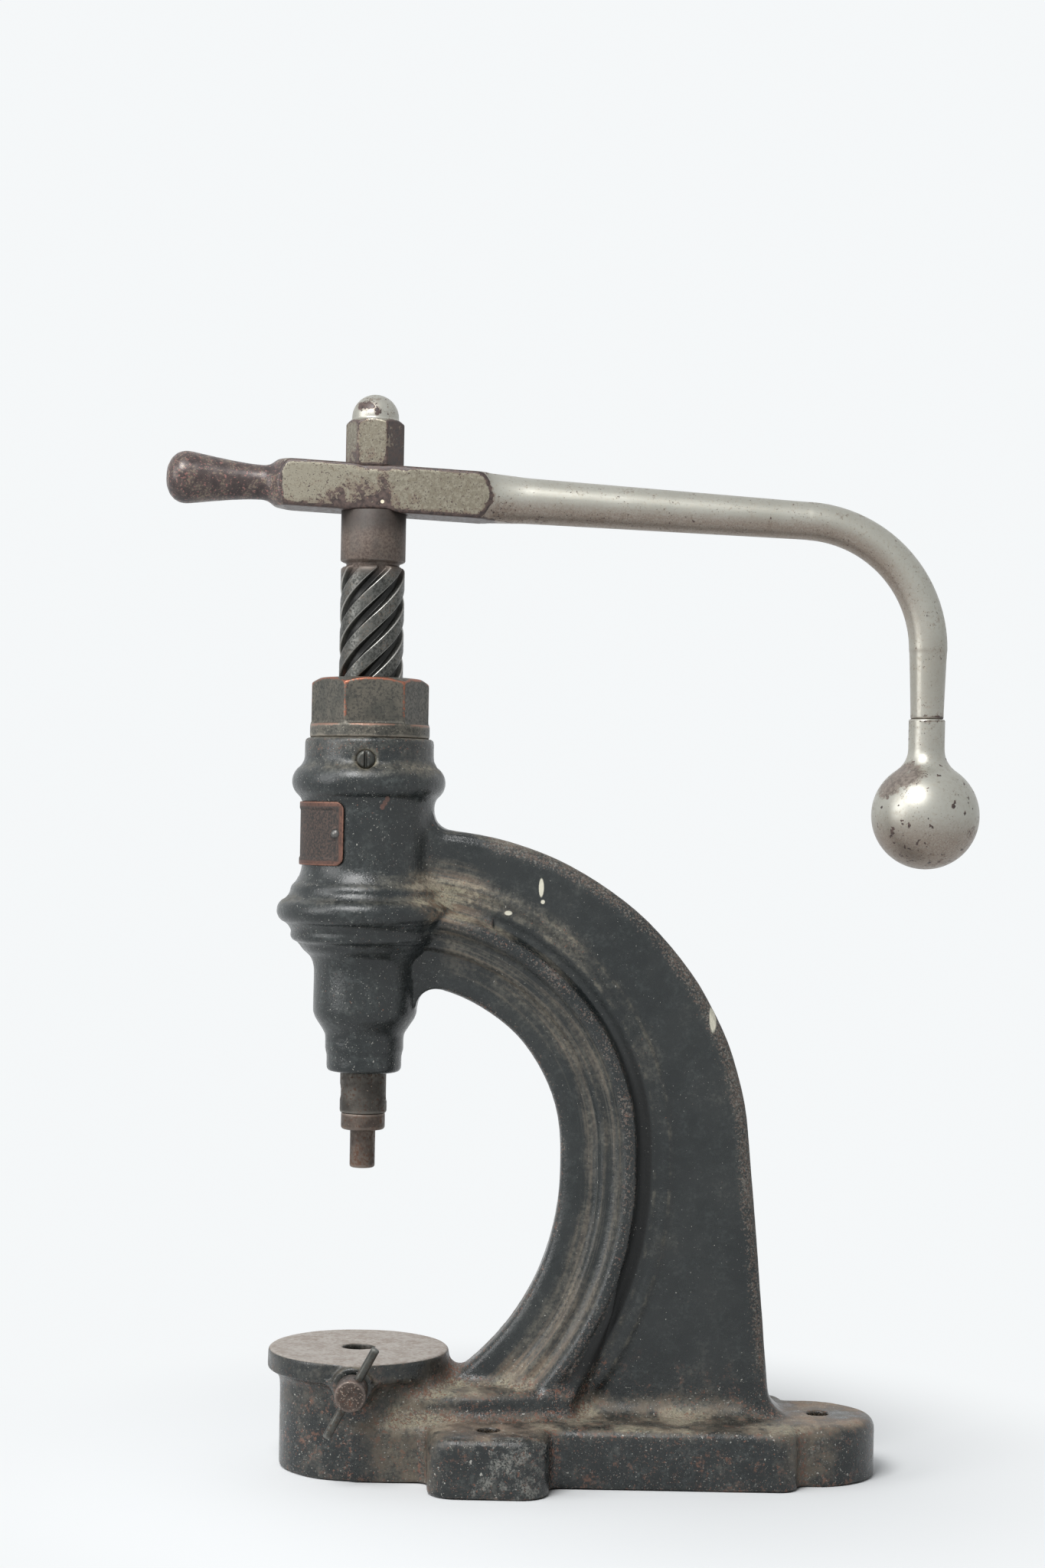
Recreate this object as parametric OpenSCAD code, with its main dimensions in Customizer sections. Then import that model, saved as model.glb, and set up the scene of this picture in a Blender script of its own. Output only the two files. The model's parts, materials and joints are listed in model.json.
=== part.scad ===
// Button press: a weighted lever turns a six-start screw that drives a keyed ram
// down through the barrel of a moulded C-frame casting, onto a die held in the round table.
// Millimetres. Z is up, X runs from the table to the back of the base,
// and the spindle stands on X = Y = 0 with the bench at Z = 0.

/* [Base] */
// Thickness of the base plate
base_t = 27; // [22:0.5:34]
// Half width of the base plate
base_half_w = 43.5; // [40:0.5:48]
// Distance from the spindle to the rear bolt
rear_bolt_x = 215.5; // [206:0.5:232]
// Distance from the spindle to the side bolts
side_bolt_x = 62; // [56:0.5:68]
// Half distance between the side bolts
side_bolt_y = 46; // [43:0.5:50]
// Width of a side lug along the base
lug_w = 55; // [46:0.5:60]
// Diameter of the bolt holes
bolt_d = 10; // [8:0.5:13]

/* [Table] */
// Height of the table face above the bench
table_z = 54.5; // [50:0.5:60]
// Radius of the table rim
table_r = 42.3; // [40:0.1:46]
// Height of the table rim
rim_h = 9.5; // [7:0.5:11]
// Diameter of the die hole
die_d = 15; // [8:0.5:18]

/* [Frame] */
// Free height from the table face to the barrel mouth
daylight = 129; // [124:0.5:150]
// Depth of the throat from the spindle to the column
throat_x = 92.8; // [90:0.2:104]
// Radius of the upper throat curve
throat_top_r = 76; // [70:0.5:80]
// Radius of the lower throat curve
throat_low_r = 118; // [110:1:124]
// Half thickness of the column web
web_half = 12; // [9:0.5:15]
// Half width of the frame at the nose moulding
nose_half = 22; // [20:0.5:26]
// Radius of the outer back curve
back_r = 154.6; // [150:0.2:160]

/* [Barrel] */
// Radius of the plain part of the barrel
barrel_r = 30.8; // [29:0.1:34]
// Height of the barrel from the top of the throat to its top face
barrel_h = 114.3; // [113:0.1:122]
// Radius of the lower barrel
lower_r = 24.3; // [23:0.1:27]
// Radius of the mouth ring
mouth_r = 17.6; // [16.6:0.1:19]

/* [Screw] */
// Outside diameter of the screw
screw_d = 30; // [27:0.5:31]
// Travel of the screw in one turn
screw_lead = 86; // [70:1:100]
// Number of thread starts
screw_starts = 6; // [5:1:7]
// Depth of the thread
thread_depth = 2.8; // [2.2:0.1:3.2]
// Working travel downward from the drawn position
travel_down = 50; // [40:1:51]
// Working travel upward from the drawn position
travel_up = 10; // [6:1:12]
// Gap between the flanks and crests of screw and nut
thread_gap = 0.3; // [0.25:0.01:0.4]

/* [Spindle nut] */
// Width across the flats of the spindle nut
nut_af = 48; // [46:0.5:50]
// Height of the hexagon
nut_hex_h = 21.5; // [18:0.5:24]
// Height of the round flange under the hexagon
nut_flange_h = 6.5; // [4:0.5:8]
// Radius of the nut body inside the barrel
nut_body_r = 22; // [21:0.1:23]

/* [Ram] */
// Diameter of the ram stem
ram_d = 22; // [20:0.5:23]
// Radius of the ram head inside the barrel
head_r = 16.9; // [16:0.1:17.5]
// Length of the ram below the barrel mouth
ram_out = 19.2; // [16:0.2:24]
// Width of the ram key
key_w = 5; // [4:0.5:6]
// Diameter of the punch tip
punch_d = 12; // [8:0.5:13]
// Length of the punch tip
punch_l = 17.9; // [12:0.1:24]
// Radial clearance of the sliding and turning fits
run_gap = 0.06; // [0.03:0.01:0.09]

/* [Lever] */
// Height of the lever centre above the nut
lever_rise = 88.4; // [84:0.2:96]
// Downward slope of the lever
lever_droop = 3; // [2:0.1:4]
// Thickness of the lever boss
boss_h = 22; // [20:0.5:24]
// Depth of the lever boss
boss_w = 27; // [25:0.5:29]
// Reach from the spindle to the hanging rod
lever_reach = 261; // [240:1:280]
// Radius of the lever bend
bend_r = 60; // [50:1:70]
// Diameter of the lever grip at its widest
grip_d = 24.7; // [22:0.1:28]
// Diameter of the ball weight
ball_d = 50.4; // [44:0.2:56]
// Width across the flats of the dome nut
dome_af = 24; // [22:0.5:26]

/* [Clamp] */
// Diameter of the clamp screw thread
clamp_d = 10; // [8:0.5:11]
// Diameter of the clamp screw head
clamp_head_d = 14.3; // [13:0.1:17]
// Length of the clamp screw head
clamp_head_l = 15; // [13:0.5:18]
// Diameter of the tommy bar
bar_d = 4; // [3:0.1:5]
// Length of the tommy bar
bar_l = 46; // [38:0.5:54]
// Lean of the tommy bar from upright
bar_lean = 28.3; // [0:0.1:60]

/* [Nameplate] */
// Height of the nameplate
plate_h = 29.5; // [24:0.5:31]
// Thickness of the nameplate
plate_t = 1.3; // [1:0.1:1.8]

/* [Hidden] */
$fn = 96;
// Radial gap of the fixed fits
seat_gap = 0.04;

// Throat curves, seen from the side
upper_drop = 34.5;
lower_rise = 83.5;
barrel_z0 = table_z + daylight;
zc_top = barrel_z0 - upper_drop;
zc_low = min(table_z + lower_rise, zc_top);
xc_top = throat_x - throat_top_r;
xc_low = throat_x - throat_low_r;
throat_top_z = zc_top + throat_top_r;
throat_fillet_r = 9;

// Mouldings: distances from the throat edge, and their heights round the barrel
step_d = 22.2;
nose_d = 33.4;
bead_d = 42.6;
step_z = throat_top_z + step_d;
nose_z = throat_top_z + nose_d;
bead_z = throat_top_z + bead_d;
bead_runout = 10.2;
nose_out = 11.3;
nose_r = barrel_r + nose_out;

// Barrel above the mouldings
barrel_z1 = throat_top_z + barrel_h;
collar_h = 20.5;
collar_step = 0.6;
collar_r = barrel_r - collar_step;
top_bead_r = 8.5;
top_bead_in = 3.3;
top_bead_z = barrel_z1 - collar_h;
cove_r = 4;
lock_drop = 10.3;
lock_z = barrel_z1 - lock_drop;
lock_r = 3;
lock_head_r = 4.35;
lock_sink = 2.4;

// Nameplate and its rivets
plate_lift = 0.55;
plate_rim = 3.4;
plate_recess = 0.4;
plate_corner = 4;
plate_edge_x = 9.55;
plate_z = (bead_z + bead_runout + top_bead_z - top_bead_r) / 2 + plate_lift;
rivet_a = 65;
rivet_r = barrel_r + plate_t;
rivet_shank_r = 1.2;
rivet_dome_r = 2.5;
rivet_sink = 1.2;
rivet_pad_r = 2.8;
rivet_l = 7;

// Column, base and table
back_lean = 5.3;
back_depth = 88.2;
back_drop = 6.2;
back_x = throat_x + back_depth - back_r;
back_z = zc_top - back_drop;
back_fillet_r = 14;
boss_in = 5.8;
boss_r = table_r - boss_in;
lug_out = 20;
lug_y = side_bolt_y + lug_out;
rear_r = 31;
rear_cx = rear_bolt_x - 4.5;
body_x0 = 40;
body_x1 = rear_bolt_x - 12.5;
base_wall = 9;
cavity_half = min(base_half_w - base_wall, side_bolt_y - bolt_d / 2 - base_wall / 2);
cavity_x0 = body_x0 + 12;
cavity_x1 = rear_bolt_x - 29;

// Clamp in the table side
clamp_z = table_z - rim_h - 1;
clamp_wall = 4.7;
pad_out = 3.2;
pad_y = table_r + pad_out;
pad_gap = 0.6;
clamp_pad_l = 5;
spigot_r = 2.5;
spigot_l = 3;
clamp_tip = die_d / 2 + pad_gap + clamp_pad_l;
head_gap = 1.6;
head_y = pad_y + head_gap;

// Screw and nut
screw_r = screw_d / 2;
root_r = screw_r - thread_depth;
nut_body_l = 27.5;
nut_thread_l = 40;
thread_over = 15;
thread_spare = 1;
relief_l = 3.8;
nut_seat_z = barrel_z1;
nut_hex_z = nut_seat_z + nut_flange_h;
nut_top_z = nut_hex_z + nut_hex_h;
nut_low_z = nut_seat_z - nut_body_l;
nut_thread_z = nut_top_z - nut_thread_l;
thread_z1 = nut_top_z + travel_down + thread_spare;
thread_z0 = nut_thread_z - thread_over;
collar_z = thread_z1 + relief_l;
seat_cut = 0.8;
lever_z = nut_top_z + lever_rise;
seat_z = lever_z - boss_h / 2 + seat_cut;
top_seat_z = lever_z + boss_h / 2 - seat_cut;
square_w = 19;
stud_r = 8;
stud_l = 22;

// Ram and punch
chamber_up = 23.5;
chamber_r = head_r + run_gap;
chamber_z = barrel_z0 + chamber_up;
stem_r = ram_d / 2;
head_stop = 5.8;
head_z0 = chamber_z + travel_down + thread_spare;
head_z1 = nut_low_z - travel_up - head_stop;
ram_z0 = barrel_z0 - ram_out;
journal_r = stem_r + 0.2;
cup_floor = 5;
cup_z = head_z0 + cup_floor;
disc_h = 4;
pin_r = 2.5;
pin_up = 18;
pin_z = cup_z + pin_up;
pin_y = journal_r - 0.3;
pin_end = 0.15;
groove_r = pin_y - pin_r - 0.2;
key_out = 3;
key_in = 2.8;
key_up = 2;
key_z0 = barrel_z0 + key_up;
key_l = 20;
flange_r = stem_r - 0.7;
flange_h = 7.9;
shank_l = 24;
grub_up = 9.7;
grub_z = ram_z0 + grub_up;
grub_r = 3;

// Lever rod and ball
lever_x_bend = (lever_reach - bend_r + bend_r * sin(lever_droop)) / cos(lever_droop);
boss_round_r = sqrt(pow(boss_h / 2, 2) + pow(boss_w / 2, 2)) - 0.6;
rod_drop = 32;
rod_end_z = lever_z - lever_x_bend * sin(lever_droop) - bend_r * cos(lever_droop) - rod_drop;
rod_screw_r = 5;
rod_screw_l = 16;
ball_r = ball_d / 2;
ball_neck_l = 45.2;
ball_z = rod_end_z - ball_neck_l;
neck_r = 8.5;
neck_fillet_r = 12;
tip_r = 7.7;
bend_rod_r = 9;

// Half section of the moulding that follows the throat: x is the distance from the throat edge.
moulding_pts = concat(
    [[0, 6.2], [1.2, 8.6], [4, 10], [13, 11.4], [16.6, 12.2]],
    arc(step_d - 1.5, 12.8, 3, 165, 45, 4),
    [[nose_d - 6.8, nose_half - 4.6]],
    arc(nose_d - 1.8, nose_half - 3.8, 3.8, 145, -15, 6),
    arc(bead_d - 3.6, web_half + 3.2, 3, 190, 300, 4),
    [[bead_d - 0.2, web_half + 1.2], [bead_d + 0.6, web_half + 1.5], [bead_d + 1.5, web_half + 1.2]],
    [[bead_d + 2.8, web_half + 0.6]],
    arc(bead_d + 6.4, web_half - 1.6, 3.6, 125, 45, 4),
    [[bead_d + 11, web_half - 0.4], [bead_d + 13, web_half - 1.5]]
);

// Plan of the throat opening, grown outward by g, in the X-Z plane.
module throat_2d(g) {
    intersection() {
        translate([xc_top, zc_top]) circle(r = throat_top_r + g);
        translate([-200, zc_top]) square([500, 300]);
    }
    translate([-200, zc_low - 0.01]) square([200 + throat_x + g, zc_top - zc_low + 0.02]);
    intersection() {
        translate([xc_low, zc_low]) circle(r = throat_low_r + g);
        translate([-300, zc_low - 300]) square([600, 300]);
    }
}

// Points on an arc about [cx, cy], from angle a0 to a1 in n steps.
function arc(cx, cy, r, a0, a1, n) =
    [for (i = [0:n]) let (a = a0 + (a1 - a0) * i / n) [cx + r * cos(a), cy + r * sin(a)]];

function flipped(pts) = [for (i = [len(pts) - 1:-1:0]) [pts[i][0], -pts[i][1]]];

// Section of the moulding that follows the throat.
module moulding_2d() {
    polygon(concat(moulding_pts, flipped(moulding_pts)));
}

module moulding_sweep() {
    translate([xc_top, 0, zc_top]) rotate([90, 0, 0])
        rotate_extrude(angle = 86) translate([throat_top_r, 0]) moulding_2d();
    if (zc_top > zc_low)
        translate([throat_x, 0, zc_low]) linear_extrude(height = zc_top - zc_low) moulding_2d();
    translate([xc_low, 0, zc_low]) rotate([90, 0, 0])
        rotate_extrude(angle = -56) translate([throat_low_r, 0]) moulding_2d();
}

// Concave fillet where the throat curve runs into the lower barrel.
module throat_fillet() {
    r = throat_fillet_r;
    fx = lower_r + r;
    fz = zc_top + sqrt(pow(throat_top_r - r, 2) - pow(fx - xc_top, 2));
    fa = atan2(fz - zc_top, fx - xc_top);
    deep = throat_top_r + 3;
    rotate([90, 0, 0]) linear_extrude(height = 17, center = true) polygon(concat(
        arc(fx, fz, r, 180, fa, 8),
        [[xc_top + deep * cos(fa), zc_top + deep * sin(fa)]],
        [[lower_r - 6, throat_top_z + 3], [lower_r - 6, fz]]
    ));
}

// Wedge behind the nose moulding at its foot; its back edge curves forward to the plinth.
module foot_wedge() {
    crest_r = throat_low_r + nose_d - 1.8;
    back = crest_r + 2.8;
    foot_z = base_t - 9;
    rotate([90, 0, 0]) linear_extrude(height = 2 * nose_half - 5, center = true) polygon(concat(
        arc(xc_low, zc_low, crest_r, -43, -13, 8),
        [[xc_low + back * cos(-13), zc_low + back * sin(-13)]],
        [[throat_x + 25, zc_low - 64], [throat_x + 20.4, zc_low - 77], [throat_x + 15, zc_low - 89]],
        [[throat_x + 6.5, zc_low - 107], [throat_x + 1, foot_z], [throat_x - 9, foot_z]]
    ));
}

// Side view of the column web, set in from its outer edge by inset.
module web_2d(inset) {
    r = back_r - inset;
    tan_pt = [back_x + r * cos(back_lean), back_z + r * sin(back_lean)];
    drop = tan_pt[1] - 15;
    foot_pt = [tan_pt[0] + drop * tan(back_lean), 15];
    fil = 8 + inset;
    fil_x = barrel_r + 8;
    fil_z = back_z + sqrt(pow(r + fil, 2) - pow(fil_x - back_x, 2));
    difference() {
        union() {
            intersection() {
                translate([back_x, back_z]) circle(r = r, $fn = 180);
                polygon([
                    [back_x, back_z],
                    [back_x + 300 * cos(back_lean), back_z + 300 * sin(back_lean)],
                    [back_x + 300, back_z + 300],
                    [5, back_z + 300],
                    [5, back_z]
                ]);
            }
            polygon([[back_x, back_z], tan_pt, foot_pt, [back_x, 15]]);
            difference() {
                polygon([
                    [10, back_z + r - 20], [10, fil_z], [fil_x, fil_z],
                    [back_x + (fil_x - back_x) * r / (r + fil), back_z + (fil_z - back_z) * r / (r + fil)],
                    [fil_x + 10, back_z + r - 20]
                ]);
                translate([fil_x, fil_z]) circle(r = fil);
            }
        }
        throat_2d(20);
    }
}

module web() {
    rotate([90, 0, 0]) linear_extrude(height = 2 * web_half, center = true) web_2d(4);
    rotate([90, 0, 0]) linear_extrude(height = 2 * web_half - 2.4, center = true) web_2d(1.4);
    rotate([90, 0, 0]) linear_extrude(height = 2 * web_half - 6.5, center = true) web_2d(0);
    back_fillet(2 * web_half - 2.4);
}

// Concave fillet where the back edge of the web runs out onto the base.
module back_fillet(width) {
    r = back_fillet_r;
    cz = base_t + r;
    edge_z = back_z + back_r * sin(back_lean);
    cx = back_x + back_r * cos(back_lean) + (edge_z - cz) * tan(back_lean) + r / cos(back_lean);
    rotate([90, 0, 0]) linear_extrude(height = width, center = true) polygon(concat(
        [[cx - r - 8, cz - 2], [cx - r - 8, base_t - 4], [cx, base_t - 4]],
        arc(cx, cz, r, 270, 180 + back_lean, 8)
    ));
}

// Concave fillet of radius r along X, in the corner between a floor and a wall facing -Y.
module foot_fillet(x0, x1, r) {
    translate([x0, 0, 0]) rotate([90, 0, 90]) linear_extrude(height = x1 - x0)
        difference() {
            translate([-0.5, -0.5]) square([r + 0.5, r + 0.5]);
            translate([r, r]) circle(r = r);
        }
}

// Plan of a block with round corners, centred on [cx, 0].
module round_rect_2d(cx, half_x, half_y, r) {
    translate([cx - half_x, r - half_y]) square([2 * half_x, 2 * (half_y - r)]);
    translate([cx - half_x + r, -half_y]) square([2 * (half_x - r), 2 * half_y]);
    for (sx = [-1, 1], sy = [-1, 1])
        translate([cx + sx * (half_x - r), sy * (half_y - r)]) circle(r = r);
}

module base_plan_2d(inset) {
    circle(r = boss_r - inset);
    translate([0, inset - boss_r - 1.5]) square([45, 2 * (boss_r + 1.5 - inset)]);
    round_rect_2d((body_x0 + body_x1) / 2, (body_x1 - body_x0) / 2 - inset, base_half_w - inset, 9 - inset);
    round_rect_2d(side_bolt_x, lug_w / 2 - inset, lug_y - inset, 13 - inset);
    translate([rear_cx, 0]) circle(r = rear_r - inset);
    translate([body_x1 - 20, inset - rear_r]) square([rear_cx - body_x1 + 20, 2 * (rear_r - inset)]);
}

module base() {
    difference() {
        union() {
            linear_extrude(height = base_t - 4) base_plan_2d(0);
            linear_extrude(height = base_t - 2) base_plan_2d(0.8);
            linear_extrude(height = base_t - 0.7) base_plan_2d(2);
            linear_extrude(height = base_t) base_plan_2d(3.8);
        }
        translate([0, 0, -1]) linear_extrude(height = base_t - base_wall + 1)
            round_rect_2d((cavity_x0 + cavity_x1) / 2, (cavity_x1 - cavity_x0) / 2, cavity_half, 8);
    }
}

// Low plinth that carries the foot of the frame forward to the table.
module plinth() {
    for (s = [[0, 0], [1.2, 1.4], [3, 3.6]])
        linear_extrude(height = table_z - 18 + s[0]) polygon([
            [0, s[1] - 32], [60, s[1] - 29], [throat_x + 6 - s[1], s[1] - nose_half - 1],
            [throat_x + 6 - s[1], nose_half + 1 - s[1]], [60, 29 - s[1]], [0, 32 - s[1]]
        ]);
}

module table() {
    rim_z = table_z - rim_h;
    cylinder(r = boss_r, h = table_z - 1);
    rotate_extrude() difference() {
        translate([0, rim_z - 4]) square([boss_r + 4, 5]);
        translate([boss_r + 4, rim_z - 4]) circle(r = 4);
    }
    translate([0, 0, rim_z]) cylinder(r = table_r, h = rim_h - 0.8);
    translate([0, 0, table_z - 0.8]) cylinder(r1 = table_r, r2 = table_r - 0.8, h = 0.8);
    translate([0, 0, clamp_z]) rotate([90, 0, 0]) cylinder(r = clamp_d / 2 + clamp_wall, h = pad_y);
}

// Outline of the barrel: x is the radius, y the height.
module barrel_2d() {
    cove_x = collar_r + cove_r;
    cove_dx = cove_x - barrel_r + top_bead_in;
    cove_a = acos(cove_dx / (top_bead_r + cove_r));
    cove_z = top_bead_z + cove_dx * tan(cove_a);
    difference() {
        union() {
            polygon(concat([
                [0, barrel_z0], [mouth_r - 1.2, barrel_z0],
                [mouth_r, barrel_z0 + 1.4], [mouth_r, barrel_z0 + 8.5],
                [mouth_r + 0.8, barrel_z0 + 10], [mouth_r + 0.8, barrel_z0 + 17.2],
                [mouth_r + 2, barrel_z0 + 19.4], [lower_r - 1, barrel_z0 + 25],
                [lower_r, barrel_z0 + 28], [lower_r, step_z - 15.5],
                [lower_r + 0.6, step_z - 12.6], [lower_r + 2, step_z - 9.8], [lower_r + 5.2, step_z - 7.2],
                [barrel_r + 1.6, step_z - 3], [barrel_r + 3.6, step_z + 2], [barrel_r + 5, nose_z - 6.5],
                [barrel_r + 8, nose_z], [barrel_r + 5, bead_z - 1.5], [barrel_r + 2.4, bead_z + 5],
                [barrel_r + 0.8, bead_z + 7.6], [barrel_r, bead_z + bead_runout]
            ], [[barrel_r, top_bead_z]], arc(cove_x, cove_z, cove_r, 180 + cove_a, 180, 5), [
                [collar_r, barrel_z1 - 1.2], [collar_r - 1, barrel_z1], [0, barrel_z1]
            ]));
            translate([barrel_r + 1.5, step_z]) circle(r = 3.3);
            translate([nose_r - 6, nose_z]) circle(r = 6);
            translate([barrel_r + 0.5, bead_z]) circle(r = 4.7);
            translate([barrel_r - top_bead_in, top_bead_z]) circle(r = top_bead_r);
        }
        translate([-50, 0]) square([50, 600]);
    }
}

module frame_casting() {
    color([0.16, 0.19, 0.20]) difference() {
        union() {
            base();
            plinth();
            table();
            web();
            moulding_sweep();
            throat_fillet();
            foot_wedge();
            rotate_extrude() barrel_2d();
            for (m = [0, 1]) mirror([0, m, 0]) translate([0, -web_half, base_t])
                mirror([0, 1, 0]) foot_fillet(throat_x + 8, throat_x + 88, 9);
        }
        translate([-400, -400, -100]) cube([800, 800, 100]);
        translate([0, 0, nut_low_z - 1]) cylinder(r = nut_body_r + seat_gap, h = 200);
        translate([0, 0, chamber_z]) cylinder(r = chamber_r, h = nut_low_z - chamber_z);
        translate([0, 0, barrel_z0 - 1]) cylinder(r = stem_r + run_gap, h = 40);
        translate([0, -key_w / 2, key_z0]) cube([stem_r + key_out, key_w, chamber_z - key_z0 + 1]);
        translate([0, 0, -1]) cylinder(r = die_d / 2, h = table_z + 2);
        translate([0, 0, clamp_z]) rotate([90, 0, 0]) cylinder(r = clamp_d / 2 + run_gap, h = pad_y + 1);
        for (sy = [-1, 1])
            translate([side_bolt_x, sy * side_bolt_y, -1]) cylinder(r = bolt_d / 2, h = base_t + 2);
        translate([rear_bolt_x, 0, -1]) cylinder(r = bolt_d / 2, h = base_t + 2);
        lock_screw_cut();
        rivet_holes();
    }
}

module lock_screw_cut() {
    translate([0, 0, lock_z]) rotate([90, 0, 0]) {
        cylinder(r = lock_r + seat_gap, h = 60);
        translate([0, 0, collar_r - lock_sink]) cylinder(r = lock_head_r + 0.25, h = 20);
    }
}

module rivet_place(side) {
    a = side * rivet_a;
    translate([-rivet_r * cos(a), rivet_r * sin(a), plate_z])
        rotate([0, 0, -a]) rotate([0, -90, 0]) children();
}

module rivet_holes() {
    for (s = [-1, 1]) rivet_place(s)
        translate([0, 0, -rivet_l - 1]) cylinder(r = rivet_shank_r, h = rivet_l + 5);
}

// Section of the six-start thread, grown outward by grow for the nut.
module thread_2d(grow) {
    turn = 360 / screw_starts;
    land = turn * 0.27 + grow * 2.6;
    root = turn * 0.37 + grow * 2.6;
    polygon([for (i = [0:screw_starts - 1]) for (p = [
        [screw_r + grow, -land], [screw_r + grow, 0], [screw_r + grow, land],
        [root_r + grow, root], [root_r + grow, turn - root]
    ]) [p[0] * cos(i * turn + p[1]), p[0] * sin(i * turn + p[1])]]);
}

// A length of the screw thread from z0 to z1, in step with the drawn spindle.
module thread(z0, z1, grow) {
    sweep = 360 * (z1 - z0) / screw_lead;
    translate([0, 0, z0]) rotate([0, 0, 360 * (z0 - thread_z0) / screw_lead])
        linear_extrude(height = z1 - z0, twist = -sweep, slices = ceil(sweep / 10),
            segments = 5 * screw_starts, convexity = 6)
        thread_2d(grow);
}

module spindle_nut() {
    color([0.55, 0.42, 0.28]) difference() {
        union() {
            translate([0, 0, nut_hex_z]) rotate([0, 0, 7.8]) intersection() {
                cylinder(r = nut_af / 2 / cos(30), h = nut_hex_h, $fn = 6);
                cylinder(r1 = nut_af / 2 + 1.73 * nut_hex_h, r2 = nut_af / 2 - 0.6, h = nut_hex_h);
            }
            translate([0, 0, nut_seat_z]) cylinder(r = nut_af / 2 / cos(30) + 0.3, h = nut_flange_h);
            translate([0, 0, nut_low_z]) cylinder(r = nut_body_r, h = nut_seat_z - nut_low_z + 1);
        }
        thread(nut_thread_z - 0.5, nut_top_z + 1, thread_gap);
        translate([0, 0, nut_low_z - 1]) cylinder(r = screw_r + 0.7, h = nut_thread_z - nut_low_z + 1);
        translate([0, 0, lock_z]) rotate([90, 0, 0]) cylinder(r = lock_r + seat_gap, h = 60);
    }
}

module nut_lock_screw() {
    tip = screw_r + 2.6;
    color([0.30, 0.27, 0.24]) translate([0, 0, lock_z]) rotate([90, 0, 0]) difference() {
        union() {
            translate([0, 0, tip]) cylinder(r = lock_r, h = collar_r - lock_sink - tip);
            translate([0, 0, collar_r - lock_sink]) cylinder(r = lock_head_r, h = 1.8);
            translate([0, 0, collar_r - lock_sink + 1.8])
                cylinder(r1 = lock_head_r, r2 = lock_head_r - 1.15, h = 1);
        }
        translate([-0.6, -6, collar_r - 0.8]) cube([1.2, 12, 4]);
    }
}

// Flat outline of the nameplate seen from the side, set in by inset.
module plate_side_2d(inset) {
    x1 = -plate_edge_x - inset;
    r = plate_corner - inset * 0.6;
    h = plate_h / 2 - inset;
    translate([-80, -h]) square([80 + x1 - r, 2 * h]);
    translate([-80, r - h]) square([80 + x1, 2 * (h - r)]);
    for (s = [-1, 1]) translate([x1 - r, s * (h - r)]) circle(r = r);
}

module nameplate() {
    color([0.50, 0.33, 0.25]) difference() {
        translate([0, 0, plate_z]) intersection() {
            difference() {
                cylinder(r = barrel_r + plate_t, h = plate_h + 4, center = true);
                cylinder(r = barrel_r + seat_gap, h = plate_h + 6, center = true);
            }
            rotate([90, 0, 0]) linear_extrude(height = 120, center = true) plate_side_2d(0);
        }
        difference() {
            translate([0, 0, plate_z]) intersection() {
                difference() {
                    cylinder(r = barrel_r + plate_t + 1, h = plate_h + 4, center = true);
                    cylinder(r = barrel_r + plate_t - plate_recess, h = plate_h + 6, center = true);
                }
                rotate([90, 0, 0]) linear_extrude(height = 120, center = true) plate_side_2d(plate_rim);
            }
            for (s = [-1, 1]) rivet_place(s) translate([0, 0, -4]) cylinder(r = rivet_pad_r, h = 8);
        }
        rivet_holes();
    }
}

module rivet(side) {
    color([0.45, 0.40, 0.34]) rivet_place(side) {
        translate([0, 0, -rivet_l]) cylinder(r = rivet_shank_r, h = rivet_l + 0.2);
        intersection() {
            translate([0, 0, -rivet_sink]) sphere(r = rivet_dome_r);
            cylinder(r = rivet_dome_r + 1, h = rivet_dome_r);
        }
    }
}

module nameplate_rivet_near() { rivet(-1); }

module nameplate_rivet_far() { rivet(1); }

module ram_key() {
    color([0.42, 0.42, 0.42]) translate([stem_r - key_in, -key_w / 2, key_z0])
        cube([key_in + key_out, key_w, key_l]);
}

module ram_pin_cut() {
    for (s = [-1, 1])
        translate([0, s * pin_y, pin_z]) rotate([0, 90, 0])
            cylinder(r = pin_r, h = 3 * head_r, center = true);
}

module ram() {
    color([0.45, 0.44, 0.42]) difference() {
        union() {
            translate([0, 0, head_z0]) cylinder(r = head_r, h = head_z1 - head_z0);
            translate([0, 0, ram_z0]) cylinder(r = stem_r, h = head_z0 - ram_z0 + 1);
        }
        translate([0, 0, cup_z]) cylinder(r = journal_r + run_gap, h = head_z1 - cup_z + 1);
        translate([stem_r - key_in - run_gap, -key_w / 2 - run_gap, ram_z0 + 6])
            cube([stem_r, key_w + 2 * run_gap, head_z0 - ram_z0 - 6]);
        ram_pin_cut();
        translate([0, 0, ram_z0 - 1]) cylinder(r = punch_d / 2, h = shank_l + 3);
        translate([0, 0, grub_z]) rotate([0, -90, 0]) cylinder(r = grub_r + seat_gap, h = 2 * stem_r);
    }
}

module thrust_disc() {
    color([0.55, 0.55, 0.56]) translate([0, 0, cup_z]) cylinder(r = journal_r - 0.1, h = disc_h);
}

module ram_pin(side) {
    half = sqrt(pow(head_r, 2) - pow(pin_y + pin_r, 2)) - pin_end;
    color([0.50, 0.50, 0.50]) translate([0, side * pin_y, pin_z]) rotate([0, 90, 0])
        cylinder(r = pin_r, h = 2 * half, center = true);
}

module ram_pin_near() { ram_pin(-1); }

module ram_pin_far() { ram_pin(1); }

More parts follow.
